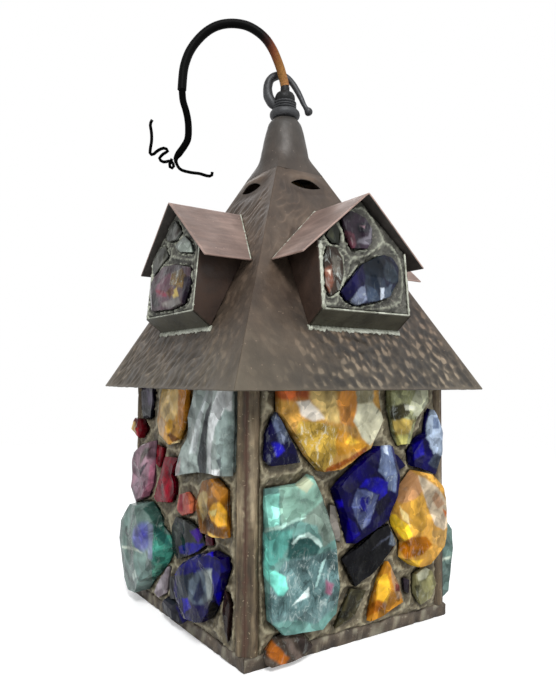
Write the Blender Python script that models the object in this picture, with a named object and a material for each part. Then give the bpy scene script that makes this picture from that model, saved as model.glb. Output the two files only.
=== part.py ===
"""Hanging lantern of hammered copper, leading and thick chunk glass.

A square box of four leaded glass walls stands under a steep copper roof with
four glazed dormers. A cast hook is screwed on a hollow threaded rod at the top
of the roof's neck, the lead passes down the rod, and a lamp holder with its
bulb hangs from the rod inside the roof. All sizes are in metres, +Z is up, and
the origin is the middle of the lantern's bottom rim.
"""
import math

import bmesh
import bpy
from mathutils import Matrix, Vector
from mathutils.geometry import tessellate_polygon

# Unit of the tables below
MM = 0.001

# Gap between pieces that touch
GAP = 0.0003

# Box of four walls
BOX_SIDE = 0.170
FRAME_DEPTH = 0.010
STILE_WIDTH = 0.011
STILE_BULGE = 0.0012
STILE_SHOULDER = 0.0012
STILE_STEPS = 5
RAIL_HEIGHT = 0.009
TOP_RAIL_HEIGHT = 0.008
LEADING_RECESS = 0.0010
LEADING_DEPTH = 0.0070

# Main roof: a steep square pyramid of copper sheet that turns into a round neck
EAVE_OVERHANG = 0.0193
EAVE_HEIGHT = 0.163
ROOF_SLOPE = 1.9626
ROOF_SHEET = 0.0012
NECK_BASE_HALF = 0.0212
VENT_HALF_WIDTH = 0.0135
VENT_UPPER_RISE = 0.0045
VENT_LOWER_DROP = 0.0026
VENT_BELOW_NECK = 0.0125
VENT_LIP = 0.0022
VENT_COLLAR_WIDTH = 1.22
VENT_COLLAR_HEIGHT = 2.0
LIGHT_HOLE_WIDTH = 0.036
LIGHT_HOLE_HEIGHT = 0.030
LIGHT_HOLE_ABOVE_SILL = 0.016

# Neck: height above its base and radius at each level, then its sheet
NECK_SHOULDER_HEIGHT = 0.016
NECK_SHOULDER_RADIUS = 0.0188
NECK_BEND_SHARE = 0.45
NECK_MIDDLE_HEIGHT = 0.030
NECK_MIDDLE_RADIUS = 0.0160
NECK_UPPER_HEIGHT = 0.041
NECK_UPPER_RADIUS = 0.0132
NECK_HEIGHT = 0.046
NECK_TOP_RADIUS = 0.0098
NECK_SHEET = 0.0015
NECK_SIDES = 32

# Dormers: a gabled sheet roof over a folded sheet box with a leaded front
DORMER_SILL_ABOVE_EAVE = 0.0492
DORMER_SILL_OUT = 0.01737
DORMER_RISE = 0.0790
DORMER_ROOF_HALF = 0.0525
DORMER_ROOF_DROP = 0.0446
DORMER_ROOF_OVERHANG = 0.0010
DORMER_ROOF_RAKE = 0.0016
DORMER_ROOF_SHEET = 0.0010
DORMER_LEAN = math.radians(5.5)
DORMER_HALF_WIDTH = 0.0385
DORMER_SHEET = 0.0010
DORMER_APRON_DROP = 0.0092
DORMER_LEADING_DEPTH = 0.0050

# Screwed fittings on the axis
ROD_RADIUS = 0.00485
ROD_BORE = 0.0034
ROD_TOP_IN_HOOK = 0.0045
ROD_END_IN_CAP = 0.004
NUT_HALF_FLATS = 0.0072
NUT_STEPS = 24
NUT_HEIGHT = 0.004
NECK_RING_RADIUS = 0.0119
NECK_RING_HEIGHT = 0.0077
HOOK_COLLAR_RADIUS = 0.0092
HOOK_COLLAR_HEIGHT = 0.0060
GROMMET_RADIUS = 0.0080
GROMMET_HEIGHT = 0.0078
GROMMET_NECK_RADIUS = 0.0037
GROMMET_NECK_HEIGHT = 0.0047

# The hook and the free cord lie in one upright plane, turned about the axis
HOOK_TURN = math.radians(-34.4)

# Lamp holder and bulb
HOLDER_RADIUS = 0.0175
HOLDER_CLEARANCE = 0.0030
HOLDER_SHEET = 0.0010
CAP_HEIGHT = 0.016
CAP_TOP_RADIUS = 0.0085
SHELL_HEIGHT = 0.040
INSERT_BELOW_RIM = 0.0045
INSERT_DISC = 0.006
THREAD_RADIUS = 0.0131
THREAD_LINER = 0.0010
BULB_BASE_HEIGHT = 0.024
BULB_TIP_RADIUS = 0.0042
BULB_TIP_HEIGHT = 0.0018
CONTACT_SHEET = 0.0008
CONTACT_SPRING_RISE = 0.0024
CONTACT_HALF_LENGTH = 0.0090
CONTACT_HALF_WIDTH = 0.0030
BULB_BASE_SHEET = 0.0006
BULB_RADIUS = 0.030
BULB_NECK_RADIUS = 0.0125
BULB_NECK_LENGTH = 0.012
BULB_WALL = 0.0010
BULB_SHOULDER = 50.0
BULB_STEPS = 8
BULB_LENGTH = 0.084

# Cord
SLEEVE_DIAMETER = 0.0070
FLEX_DIAMETER = 0.0054
WIRE_DIAMETER = 0.0024
LEAD_DIAMETER = 0.0050
FLEX_SHARE = 0.56

# Heights and half widths worked out from the sizes above
BOX_HALF = BOX_SIDE / 2
EAVE_HALF = BOX_HALF + EAVE_OVERHANG
DORMER_SILL_HEIGHT = EAVE_HEIGHT + DORMER_SILL_ABOVE_EAVE
DORMER_RIDGE_HEIGHT = DORMER_SILL_HEIGHT + DORMER_RISE
DORMER_SILL_FRONT = EAVE_HALF - DORMER_SILL_ABOVE_EAVE / ROOF_SLOPE + DORMER_SILL_OUT
DORMER_ROOF_FRONT = DORMER_SILL_FRONT + DORMER_ROOF_OVERHANG
SHEET_ACROSS = ROOF_SHEET * math.hypot(1, ROOF_SLOPE) / ROOF_SLOPE
NECK_BASE = EAVE_HEIGHT + (EAVE_HALF - NECK_BASE_HALF) * ROOF_SLOPE
NECK_TOP = NECK_BASE + GAP + NECK_HEIGHT
RING_BASE = NECK_TOP + GAP
HOOK_BASE = RING_BASE + NECK_RING_HEIGHT + GAP
GROMMET_BASE = HOOK_BASE + HOOK_COLLAR_HEIGHT + GAP
GROMMET_TOP = GROMMET_BASE + GROMMET_HEIGHT + GROMMET_NECK_HEIGHT
ROD_HOLE = ROD_RADIUS + GAP
CAP_TOP = EAVE_HEIGHT + (EAVE_HALF - SHEET_ACROSS - HOLDER_RADIUS - HOLDER_CLEARANCE) * ROOF_SLOPE
CAP_BASE = CAP_TOP - CAP_HEIGHT
SHELL_TOP = CAP_BASE - GAP
SHELL_BASE = SHELL_TOP - SHELL_HEIGHT
INSERT_TOP = SHELL_TOP - INSERT_BELOW_RIM
INSERT_UNDERSIDE = INSERT_TOP - INSERT_DISC
CONTACT_TOP = INSERT_UNDERSIDE - GAP
BULB_TIP_TOP = CONTACT_TOP - CONTACT_SPRING_RISE - GAP
BULB_BASE_TOP = BULB_TIP_TOP - BULB_TIP_HEIGHT
BULB_BASE_END = BULB_BASE_TOP - BULB_BASE_HEIGHT

# Side of the lantern and its turn about the axis
SIDES = {"front": 0, "right": 1, "back": 2, "left": 3}

# Design field of the glass layouts on a wall, in millimetres: left, right, bottom, top.
# On a dormer: half its width, bottom, top at the sides, and top in the middle
DESIGN_FIELD = (11.3, 158.7, 9.3, 189.6)
DORMER_DESIGN = (37.2, 1.6, 46.1, 78.2)

# What a millimetre of the glass tables stands for
GLASS_UNIT = BOX_SIDE / 170

# Glass of the front wall. Each piece: its name where it is a sub-part of its own,
# or "" where it is small and fixed in the leading, its colour, how far it stands
# out, how its crown leans, and its outline as (across, up), in millimetres.
FRONT_GLASS = [
    ("amber_top", "amber", 9, (2, -1),
     [(21, 178), (22, 150), (42, 124), (52, 114), (66, 115), (92, 127), (101, 142), (94, 178)]),
    ("", "blue", 6, (1, 0), [(19, 147), (14, 136), (13, 122), (16, 119), (35, 119.5), (26, 135)]),
    ("aqua", "clear", 10, (0, -1),
     [(14, 103), (36, 104), (43, 108), (50, 97), (57, 80), (62, 60), (64, 40), (61, 27), (52, 20),
      (24, 22), (17, 29), (14, 60)]),
    ("cobalt", "blue", 13, (3, 2),
     [(65, 99), (71, 84), (77, 67), (88, 71), (101, 76), (108, 90), (109, 106), (104, 122), (98, 122),
      (86, 115)]),
    ("", "blue", 3, (0, 0), [(113, 120), (119, 117), (127, 110), (117, 106)]),
    ("", "clear", 7, (0, 2),
     [(112, 178), (113, 150), (117, 134), (122, 125), (128, 125), (137, 142), (147, 153), (148, 178)]),
    ("", "blue", 9, (2, -2),
     [(151, 146), (156, 134), (157, 118), (151, 106), (133, 112), (132, 119), (140, 128), (148, 131)]),
    ("amber_side", "amber", 14, (3, -1),
     [(134, 104), (143, 102), (151, 94), (156, 82), (157, 66), (153, 54), (143, 46), (131, 45), (124, 50),
      (125, 60), (117, 71), (115, 81), (122, 93)]),
    ("", "dark", 4, (0, 0), [(75, 53), (84, 40), (115, 61), (107, 70)]),
    ("", "dark", 2, (0, 0), [(67, 13), (83, 19), (91, 31), (80, 34)]),
    ("", "amber", 7, (0, 1),
     [(109, 45), (104, 36), (99, 25), (95, 13.5), (103, 14.5), (120, 20), (117, 31)]),
    ("", "clear", 6, (0, 0),
     [(137, 34), (137, 22), (142, 15), (149, 18), (154, 26), (151, 34), (145, 37)]),
    ("", "amber", 12, (3, -7), [(16, 11.5), (46, 11.5), (44, 15.5), (34, 17), (22, 14)]),
    ("", "dark", 1, (0, 0), [(63, 89), (63, 80), (68, 67), (71, 66), (70, 73), (66, 88)]),
    ("", "dark", 1, (0, 0), [(127.5, 33), (128, 25), (131.5, 23), (132, 31)]),
]

# Glass of the left wall, seen from outside, in the same form
LEFT_GLASS = [
    ("", "blue", 3, (0, 0), [(18, 178), (18, 139), (33, 139), (36, 150), (37, 178)]),
    ("", "red", 8, (-1, 0), [(13, 128), (20, 125), (24, 130), (21, 136), (14, 136)]),
    ("", "amber", 6, (0, 0),
     [(60, 178), (59, 150), (54, 138), (57, 130), (74, 124), (83, 126), (91, 135), (97, 150), (99, 178)]),
    ("clear", "clear", 9, (-1, 0),
     [(121, 178), (118, 156), (108, 130), (99, 117), (89, 104), (120, 111), (156, 113), (157, 141),
      (156, 178)]),
    ("pink", "red", 8, (-1, -2),
     [(18, 112), (14, 103), (13, 90), (14, 75), (31, 82), (38, 92), (41, 112), (43, 121), (30, 118)]),
    ("", "red", 3, (0, 0), [(49, 119), (48, 106), (51, 105), (55, 112), (56, 118)]),
    ("", "red", 5, (0, 0),
     [(66, 112), (60, 99), (47, 82), (51, 80), (72, 83), (77, 89), (77, 96), (72, 101), (82, 113)]),
    ("", "red", 5, (0, 0), [(90, 89), (89, 80), (94, 78), (104, 81), (105, 88), (100, 92)]),
    ("", "amber", 8, (0, 0),
     [(121, 93), (117, 81), (124, 74), (140, 74), (153, 76), (150, 88), (150, 101), (140, 106),
      (129, 103)]),
    ("teal", "clear", 14, (-2, -3),
     [(24, 73), (14, 62), (13, 42), (14, 20), (20, 12), (34, 14), (43, 23), (57, 32), (69, 42), (75, 52),
      (69, 57), (57, 61), (53, 68), (40, 75)]),
    ("", "blue", 4, (0, 0),
     [(84, 58), (81, 50), (86, 48), (100, 53.5), (113, 58.5), (120, 65), (110, 70), (94, 70)]),
    ("cobalt", "blue", 11, (-1, -2),
     [(97, 38), (95, 25), (101, 16), (120, 19), (133, 23), (139, 30), (145, 39), (149, 48), (153, 56),
      (152, 61), (141, 62), (124, 57), (108, 49)]),
    ("", "red", 2, (0, 0), [(125.5, 69), (126, 64.5), (133, 66), (132, 69)]),
    ("", "blue", 4, (0, 0),
     [(66, 30), (61, 27), (54, 20), (49, 13.5), (55, 12.5), (65, 18), (67, 28), (69, 35)]),
    ("", "blue", 3, (0, 0), [(74, 30), (75, 17), (84, 19), (80, 32)]),
    ("", "blue", 2, (0, 0), [(69, 12), (92, 11.5), (88, 14), (75, 14)]),
    ("", "red", 2, (0, 0), [(150, 41), (148, 27), (152, 13), (155, 35)]),
]

# Glass of the dormer fronts in the same form, across and up the leaning front
DORMER_GLASS = {
    "front": [
        ("", "red", 4, (0, 0),
         [(-18, 62), (-15, 50), (-11, 43), (0, 44), (4, 48), (5, 57), (0, 63), (-10, 66)]),
        ("", "dark", 1, (0, 0), [(-31, 48), (-27, 44.5), (-21, 45), (-20, 51), (-23, 55), (-27, 54)]),
        ("", "amber", 2, (0, 0),
         [(-34, 32), (-34, 16), (-31, 10), (-25, 14), (-20, 25), (-21, 34), (-25, 40), (-31, 40)]),
        ("navy", "blue", 7, (1, 1),
         [(-22, 12), (-19, 8), (-12, 5), (4, 8), (16, 12), (24, 22), (25, 31), (20, 37), (12, 38),
          (3, 34), (-5, 30)]),
    ],
    "left": [
        ("", "clear", 3, (0, 0), [(-15, 61), (-8, 55), (5, 54), (9, 58), (1, 66), (-6, 66)]),
        ("", "clear", 2, (0, 0), [(3, 49), (12, 44), (29, 41), (26, 47), (16, 53)]),
        ("", "clear", 2, (0, 0), [(-33, 45), (-33, 33), (-25, 36), (-11, 44), (-15, 51), (-25, 51)]),
        ("pink", "red", 6, (-1, 0),
         [(-29, 21), (-31, 12), (-24, 6), (8, 5), (26, 7), (31, 18), (29, 29), (8, 34), (-12, 35),
          (-22, 30)]),
    ],
}

# Rough crown of a chunk. Each ring: share of its height, of its outline and of its lean
CROWN = ((0.62, 0.90, 0.5), (1.0, 0.55, 1.0))
CROWN_RIM = 0.06
CROWN_WAVE = 0.09
CROWN_WAVE_PITCH = 2.4
GLASS_TYPE = {"front": "front", "back": "front", "left": "left", "right": "left"}

# Hook bar: distance along the hook's plane, height above the hook's base,
# distance behind that plane, and radius
HOOK_BAR = [
    (-9.4, 2.0, 0.0, 3.4), (-11.3, 6.4, 0.4, 3.5), (-13.4, 12.0, 1.4, 3.6), (-13.8, 19.4, 2.8, 3.6),
    (-12.0, 25.8, 4.0, 3.4), (-8.2, 29.4, 4.8, 3.3), (-3.1, 30.4, 5.2, 3.1), (1.9, 28.0, 5.2, 2.8),
    (6.6, 22.8, 4.8, 2.5), (10.2, 16.6, 4.2, 2.4), (13.1, 10.4, 3.6, 2.2), (15.8, 4.4, 3.0, 1.9),
    (17.0, 2.4, 2.9, 2.2), (18.2, 0.8, 2.8, 3.1), (19.2, -0.9, 2.7, 3.2), (20.0, -2.3, 2.6, 2.1),
    (20.3, -2.9, 2.6, 0.9),
]

# Cord routes: along the hook's plane, height above the grommet's top, and
# distance in front of that plane, in millimetres
SLEEVE_ROUTE = [
    (0.0, 0.3, 0.0), (-0.7, 3.5, 0.4), (-2.0, 8.0, 1.9), (-3.8, 13.5, 3.4), (-6.4, 20.0, 4.6),
    (-9.6, 27.0, 5.4), (-15.0, 35.2, 5.9), (-22.3, 41.8, 6.0), (-31.3, 46.4, 6.0), (-42.4, 47.9, 6.0), (-52.9, 46.1, 6.0),
    (-61.9, 41.0, 6.0), (-69.6, 33.1, 6.0), (-74.9, 24.8, 6.0), (-78.2, 15.6, 6.0), (-79.6, 7.3, 6.0),
    (-80.4, -5.5, 6.0),
]
FLEX_ROUTE = [
    (-80.2, -6.0, 6.0), (-79.4, -14.0, 6.0), (-77.0, -22.0, 6.0), (-75.4, -29.5, 6.0), (-74.8, -37.5, 6.0),
    (-75.4, -45.0, 6.0), (-78.3, -50.6, 6.0), (-82.0, -56.0, 6.0), (-84.4, -60.0, 6.0), (-83.6, -64.2, 6.0),
    (-80.4, -68.6, 6.0), (-72.9, -70.8, 6.0), (-65.8, -71.7, 6.0), (-60.2, -73.4, 6.0), (-56.6, -73.4, 6.0),
    (-56.0, -70.6, 6.0),
]
WIRE_ROUTE = [
    (-87.3, -60.0, 6.0), (-89.4, -64.4, 4.8), (-88.2, -66.9, 3.8), (-86.4, -64.6, 2.9), (-89.0, -60.6, 2.2),
    (-94.4, -61.4, 2.2), (-97.6, -59.4, 3.6), (-94.6, -56.3, 5.2), (-90.4, -54.2, 6.8), (-93.2, -52.6, 8.4),
    (-98.0, -54.4, 8.0), (-101.8, -57.2, 7.2), (-104.2, -56.4, 6.6), (-104.2, -52.2, 6.2), (-103.4, -46.0, 6.0),
    (-103.6, -39.5, 6.0), (-104.6, -33.0, 6.0), (-103.2, -29.5, 6.0),
]

COPPER = ("patinated_copper", (0.145, 0.115, 0.095), 0.55, 0.8)
PINK_COPPER = ("dormer_copper", (0.26, 0.18, 0.155), 0.6, 0.6)
DARK_COPPER = ("dark_copper", (0.055, 0.030, 0.024), 0.6, 0.5)
NECK_METAL = ("neck_metal", (0.12, 0.12, 0.105), 0.5, 0.7)
LEAD = ("leading", (0.19, 0.165, 0.135), 0.65, 0.6)
FRAME_LEAD = ("frame_lead", (0.16, 0.135, 0.095), 0.6, 0.6)
IRON = ("iron", (0.055, 0.057, 0.06), 0.55, 0.7)
BRASS = ("brass", (0.55, 0.40, 0.16), 0.35, 1.0)
PORCELAIN = ("porcelain", (0.80, 0.78, 0.72), 0.3, 0.0)
RUBBER = ("black_rubber", (0.012, 0.012, 0.012), 0.6, 0.0)
SLEEVE = ("amber_sleeve", (0.20, 0.09, 0.03), 0.55, 0.0)
BULB_GLASS = ("bulb_glass", (0.90, 0.90, 0.86), 0.1, 0.0)
GLASS_COLOURS = {
    "amber": ("amber_glass", (0.85, 0.42, 0.04), 0.12, 0.0),
    "blue": ("cobalt_glass", (0.01, 0.01, 0.35), 0.12, 0.0),
    "clear": ("pale_glass", (0.45, 0.66, 0.60), 0.12, 0.0),
    "dark": ("dark_glass", (0.02, 0.02, 0.03), 0.12, 0.0),
    "red": ("ruby_glass", (0.30, 0.01, 0.03), 0.12, 0.0),
}
SMALL_GLASS = sorted(GLASS_COLOURS)

# Fineness of bars, routes and the roof's vent
TURNED_SIDES = 24
ROD_SIDES = 16
HOOK_SIDES = 10
ROUTE_STEPS = 12
VENT_STEPS = 12
NARROWING_SHARE = 0.08


def clear_scene():
    for old in list(bpy.data.objects):
        bpy.data.objects.remove(old, do_unlink=True)


def material(finish):
    """Principled material from a (name, colour, roughness, metallic) finish."""
    name, colour, roughness, metallic = finish
    found = bpy.data.materials.get(name)
    if found:
        return found
    made = bpy.data.materials.new(name)
    made.use_nodes = True
    shader = made.node_tree.nodes["Principled BSDF"]
    shader.inputs["Base Color"].default_value = (*colour, 1.0)
    shader.inputs["Roughness"].default_value = roughness
    shader.inputs["Metallic"].default_value = metallic
    return made


def mesh_from(bm, name):
    """Close a bmesh off as a mesh with its faces pointing out."""
    bmesh.ops.recalc_face_normals(bm, faces=bm.faces[:])
    if bm.calc_volume(signed=True) < 0:
        bmesh.ops.reverse_faces(bm, faces=bm.faces[:])
    mesh = bpy.data.meshes.new(name)
    bm.to_mesh(mesh)
    bm.free()
    return mesh


def place(name, mesh, finishes, height=0.0, turn=0.0, smooth=None):
    """Put a mesh in the scene as a named sub-part."""
    if smooth is not None:
        mesh.shade_smooth()
        mesh.set_sharp_from_angle(angle=math.radians(smooth))
    if not mesh.materials:
        for finish in finishes:
            mesh.materials.append(material(finish))
    part = bpy.data.objects.new(name, mesh)
    part.location = (0.0, 0.0, height)
    part.rotation_euler = (0.0, 0.0, turn)
    bpy.context.scene.collection.objects.link(part)
    return part


def loft(bm, rings):
    """Solid through rings of equal point counts, closed by a face at each end."""
    loops = [[bm.verts.new(point) for point in ring] for ring in rings]
    count = len(loops[0])
    for lower, upper in zip(loops, loops[1:]):
        for i in range(count):
            j = (i + 1) % count
            bm.faces.new((lower[i], lower[j], upper[j], upper[i]))
    cap(bm, loops[0])
    cap(bm, loops[-1])


def cap(bm, loop):
    """Flat end over a loop of vertices, in triangles."""
    face = bm.faces.new(loop)
    face.normal_update()
    bmesh.ops.triangulate(bm, faces=[face], ngon_method="EAR_CLIP")


def plate(bm, outline, holes, front, back, raised=None, bumps=()):
    """Sheet with holes between the two surfaces that front and back map onto.

    raised is a hole with a collar: (collar outline, hole outline, lift of each
    hole point off the sheet). bumps are pieces fixed in the sheet: (outline,
    rings of points that stand out in front, material index).
    """
    loops = [outline] + holes + [bump[0] for bump in bumps] + ([raised[0]] if raised else [])
    triangles = tessellate_polygon([[Vector((p[0], p[1], 0.0)) for p in loop] for loop in loops])
    fronts = [[bm.verts.new(front(p)) for p in loop] for loop in loops]
    backs = [[bm.verts.new(back(p)) for p in loop] for loop in loops]
    flat_front = [v for loop in fronts for v in loop]
    flat_back = [v for loop in backs for v in loop]
    for a, b, c in triangles:
        bm.faces.new((flat_front[a], flat_front[b], flat_front[c]))
        bm.faces.new((flat_back[c], flat_back[b], flat_back[a]))
    for one, other in list(zip(fronts, backs))[:1 + len(holes)]:
        join_loops(bm, one, other)
    for (_, rings, index), base, under in zip(bumps, fronts[1 + len(holes):], backs[1 + len(holes):]):
        before = set(bm.faces)
        loops_up = [base] + [[bm.verts.new(point) for point in ring] for ring in rings]
        for lower, upper in zip(loops_up, loops_up[1:]):
            join_loops(bm, lower, upper)
        cap(bm, loops_up[-1])
        cap(bm, under)
        for face in set(bm.faces) - before:
            face.material_index = index
    if raised:
        lip = [bm.verts.new(front(p) + lift) for p, lift in zip(raised[1], raised[2])]
        lip_back = [bm.verts.new(back(p) + lift) for p, lift in zip(raised[1], raised[2])]
        join_loops(bm, fronts[-1], lip)
        join_loops(bm, backs[-1], lip_back)
        join_loops(bm, lip, lip_back)


def join_loops(bm, one, other):
    """Band of quads between two closed loops of vertices."""
    for i in range(len(one)):
        j = (i + 1) % len(one)
        bm.faces.new((one[i], one[j], other[j], other[i]))


def ring_of_loops(bm, rings):
    """Hollow body whose skin goes through all the rings and back to the first."""
    loops = [[bm.verts.new(point) for point in ring] for ring in rings]
    for one, other in zip(loops, loops[1:] + loops[:1]):
        join_loops(bm, one, other)


def turned(profile, sides=TURNED_SIDES):
    """Mesh of a closed (radius, height) profile spun about Z."""
    bm = bmesh.new()
    verts = [bm.verts.new((r, 0.0, z)) for r, z in profile]
    edges = [bm.edges.new((verts[i], verts[(i + 1) % len(verts)])) for i in range(len(verts))]
    edges = [e for e in edges if max(v.co.x for v in e.verts) > 1e-9]
    bmesh.ops.spin(bm, geom=verts + edges, cent=(0, 0, 0), axis=(0, 0, 1), angle=2 * math.pi,
                   steps=sides, use_merge=True, use_duplicate=False)
    bmesh.ops.remove_doubles(bm, verts=bm.verts[:], dist=1e-6)
    loose = [e for e in bm.edges if not e.link_faces]
    bmesh.ops.delete(bm, geom=loose, context="EDGES")
    return bm


def shrunk(outline, distance):
    """Outline moved inwards by a distance, with mitred corners."""
    area = sum(p[0] * q[1] - q[0] * p[1] for p, q in zip(outline, outline[1:] + outline[:1]))
    inward = 1.0 if area > 0 else -1.0
    moved = []
    for i, here in enumerate(outline):
        before = Vector(here) - Vector(outline[i - 1])
        after = Vector(outline[(i + 1) % len(outline)]) - Vector(here)
        n1 = Vector((-before.y, before.x)).normalized() * inward
        n2 = Vector((-after.y, after.x)).normalized() * inward
        bisector = (n1 + n2).normalized()
        moved.append(tuple(Vector(here) + bisector * (distance / max(bisector.dot(n1), 0.35))))
    return moved


def centre_of(outline):
    return (sum(p[0] for p in outline) / len(outline), sum(p[1] for p in outline) / len(outline))


def crown_rings(outline, height, lean, position):
    """Rings of a chunk's rough crown, from above its rim to its flat top.

    Height and lean are those of the glass tables. position(across, up, out) maps
    the wall's own directions to the model.
    """
    centre = centre_of(outline)
    rings = []
    for rise, share, drift in CROWN:
        ring = []
        for i, (across, up) in enumerate(outline):
            wave = 1.0 + CROWN_WAVE * math.sin(CROWN_WAVE_PITCH * i + across / GLASS_UNIT)
            ring.append(position(centre[0] + (across - centre[0]) * share + lean[0] * drift * GLASS_UNIT,
                                 centre[1] + (up - centre[1]) * share + lean[1] * drift * GLASS_UNIT,
                                 rise * height * wave * GLASS_UNIT))
        rings.append(ring)
    return rings


def glass_chunk(bm, outline, back, height, lean, position):
    """Rough chunk: it fills its hole from the back and swells out in front."""
    rim = CROWN_RIM * height * GLASS_UNIT
    shaft = [[position(across, up, out) for across, up in outline] for out in (-back, rim)]
    loft(bm, shaft + crown_rings(outline, height, lean, position))


def wall_point(across, up, out):
    """Point of the front wall: across from its left edge, up, and out of its face."""
    return Vector((across - BOX_HALF, -BOX_HALF - out, up))


def frame_section():
    """Profile of a frame bar: share of its width, and how far out of the wall's face."""
    rise = STILE_SHOULDER + STILE_BULGE
    section = [(0.0, -STILE_SHOULDER)]
    for step in range(1, STILE_STEPS + 1):
        angle = math.pi * (1 - step / (STILE_STEPS + 1))
        section.append((0.5 + 0.5 * math.cos(angle), -STILE_SHOULDER + rise * math.sin(angle)))
    section.append((1.0, -STILE_SHOULDER))
    return section


def wall_top():
    """Height at which the top bar of a frame just lies under the roof sheet."""
    room = [EAVE_HEIGHT + (EAVE_OVERHANG - SHEET_ACROSS - out) * ROOF_SLOPE + share * TOP_RAIL_HEIGHT
            for share, out in frame_section()]
    return min(room) - GAP


def wall_frame():
    """Ring of half-round bars, mitred to the neighbouring walls' frames."""
    bm = bmesh.new()
    edge = GAP / math.sqrt(2)
    outer = STILE_SHOULDER + edge
    top = wall_top()
    corners = [[], [], [], []]
    bars = [(FRAME_DEPTH + edge, 0.0, 0.0, -FRAME_DEPTH)]
    for share, out in frame_section():
        across = outer + share * (STILE_WIDTH - outer)
        bars.append((across, share * RAIL_HEIGHT, share * TOP_RAIL_HEIGHT, out))
    bars.append((STILE_WIDTH, RAIL_HEIGHT, TOP_RAIL_HEIGHT, -FRAME_DEPTH))
    for across, up, down, out in bars:
        corners[0].append(bm.verts.new(wall_point(across, up, out)))
        corners[1].append(bm.verts.new(wall_point(BOX_SIDE - across, up, out)))
        corners[2].append(bm.verts.new(wall_point(BOX_SIDE - across, top - down, out)))
        corners[3].append(bm.verts.new(wall_point(across, top - down, out)))
    for one, other in zip(corners, corners[1:] + corners[:1]):
        join_loops(bm, one, other)
    return mesh_from(bm, "wall_frame")


def wall_field():
    """Left, right, bottom and top of the leading inside a wall's frame."""
    return (STILE_WIDTH + GAP, BOX_SIDE - STILE_WIDTH - GAP,
            RAIL_HEIGHT + GAP, wall_top() - TOP_RAIL_HEIGHT - GAP)


def on_wall(outline):
    """Design outline in millimetres to real places inside the wall's frame."""
    left, right, bottom, top = wall_field()
    d_left, d_right, d_bottom, d_top = DESIGN_FIELD
    across = (right - left) / (d_right - d_left)
    up = (top - bottom) / (d_top - d_bottom)
    return [(left + (u - d_left) * across, bottom + (z - d_bottom) * up) for u, z in outline]


def wall_leading(pieces):
    """Leading of a wall: holes for the named chunks, the small glass fixed in it."""
    bm = bmesh.new()
    left, right, bottom, top = wall_field()
    outline = [(left, bottom), (right, bottom), (right, top), (left, top)]
    face = -LEADING_RECESS
    holes = [on_wall(row[4]) for row in pieces if row[0]]
    bumps = []
    for name, colour, height, lean, outline_mm in pieces:
        if not name:
            small = on_wall(outline_mm)
            rings = crown_rings(small, height, lean, wall_point)
            bumps.append((small, rings, 1 + SMALL_GLASS.index(colour)))
    plate(bm, outline, holes,
          lambda p: wall_point(p[0], p[1], face),
          lambda p: wall_point(p[0], p[1], face - LEADING_DEPTH), bumps=bumps)
    return mesh_from(bm, "wall_leading")


def wall_chunk(height, lean, outline_mm):
    """One named glass chunk of a wall."""
    bm = bmesh.new()
    glass_chunk(bm, shrunk(on_wall(outline_mm), GAP), LEADING_RECESS + LEADING_DEPTH, height, lean, wall_point)
    return mesh_from(bm, "wall_chunk")


def build_walls():
    frame = wall_frame()
    layouts = {"front": FRONT_GLASS, "left": LEFT_GLASS}
    leading = {kind: wall_leading(pieces) for kind, pieces in layouts.items()}
    chunks = {kind: [(row[0], row[1], wall_chunk(*row[2:])) for row in pieces if row[0]]
              for kind, pieces in layouts.items()}
    leading_finishes = [LEAD] + [GLASS_COLOURS[colour] for colour in SMALL_GLASS]
    for side, quarter in SIDES.items():
        turn = quarter * math.pi / 2
        kind = GLASS_TYPE[side]
        place(f"wall_{side}_frame", frame, [FRAME_LEAD], turn=turn)
        place(f"wall_{side}_leading", leading[kind], leading_finishes, turn=turn)
        for name, colour, mesh in chunks[kind]:
            place(f"wall_{side}_glass_{name}", mesh, [GLASS_COLOURS[colour]], turn=turn)


def roof_half(z):
    """Half width of the main roof's outer face at a height."""
    return EAVE_HALF - (z - EAVE_HEIGHT) / ROOF_SLOPE


def roof_panel():
    """One face of the main roof, mitred at the hips, with its vent and light hole."""
    bm = bmesh.new()
    hip_gap = GAP / math.sqrt(2)
    low = roof_half(EAVE_HEIGHT) - hip_gap
    high = roof_half(NECK_BASE) - hip_gap
    outline = [(-low, EAVE_HEIGHT), (low, EAVE_HEIGHT), (high, NECK_BASE), (-high, NECK_BASE)]
    sill = DORMER_SILL_HEIGHT + LIGHT_HOLE_ABOVE_SILL
    wide = LIGHT_HOLE_WIDTH / 2
    head = sill + LIGHT_HOLE_HEIGHT
    light_hole = [(-wide, sill), (wide, sill), (wide, head), (-wide, head)]
    collar, vent, lifts = [], [], []
    centre = NECK_BASE - VENT_BELOW_NECK
    outward = Vector((0.0, -ROOF_SLOPE, 1.0)).normalized()
    for i in range(VENT_STEPS):
        angle = 2 * math.pi * i / VENT_STEPS
        rise = VENT_UPPER_RISE if math.sin(angle) > 0 else VENT_LOWER_DROP
        vent.append((VENT_HALF_WIDTH * math.cos(angle), centre + rise * math.sin(angle)))
        collar.append((VENT_COLLAR_WIDTH * VENT_HALF_WIDTH * math.cos(angle),
                       centre + VENT_COLLAR_HEIGHT * rise * math.sin(angle)))
        lifts.append(outward * (VENT_LIP * max(0.0, math.sin(angle))))

    def back(p):
        across = p[0]
        if abs(abs(across) - (roof_half(p[1]) - hip_gap)) < 1e-9:
            across -= math.copysign(SHEET_ACROSS, across)
        return Vector((across, -roof_half(p[1]) + SHEET_ACROSS, p[1]))

    plate(bm, outline, [light_hole], lambda p: Vector((p[0], -roof_half(p[1]), p[1])), back,
          (collar, vent, lifts))
    return mesh_from(bm, "roof_panel")


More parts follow.
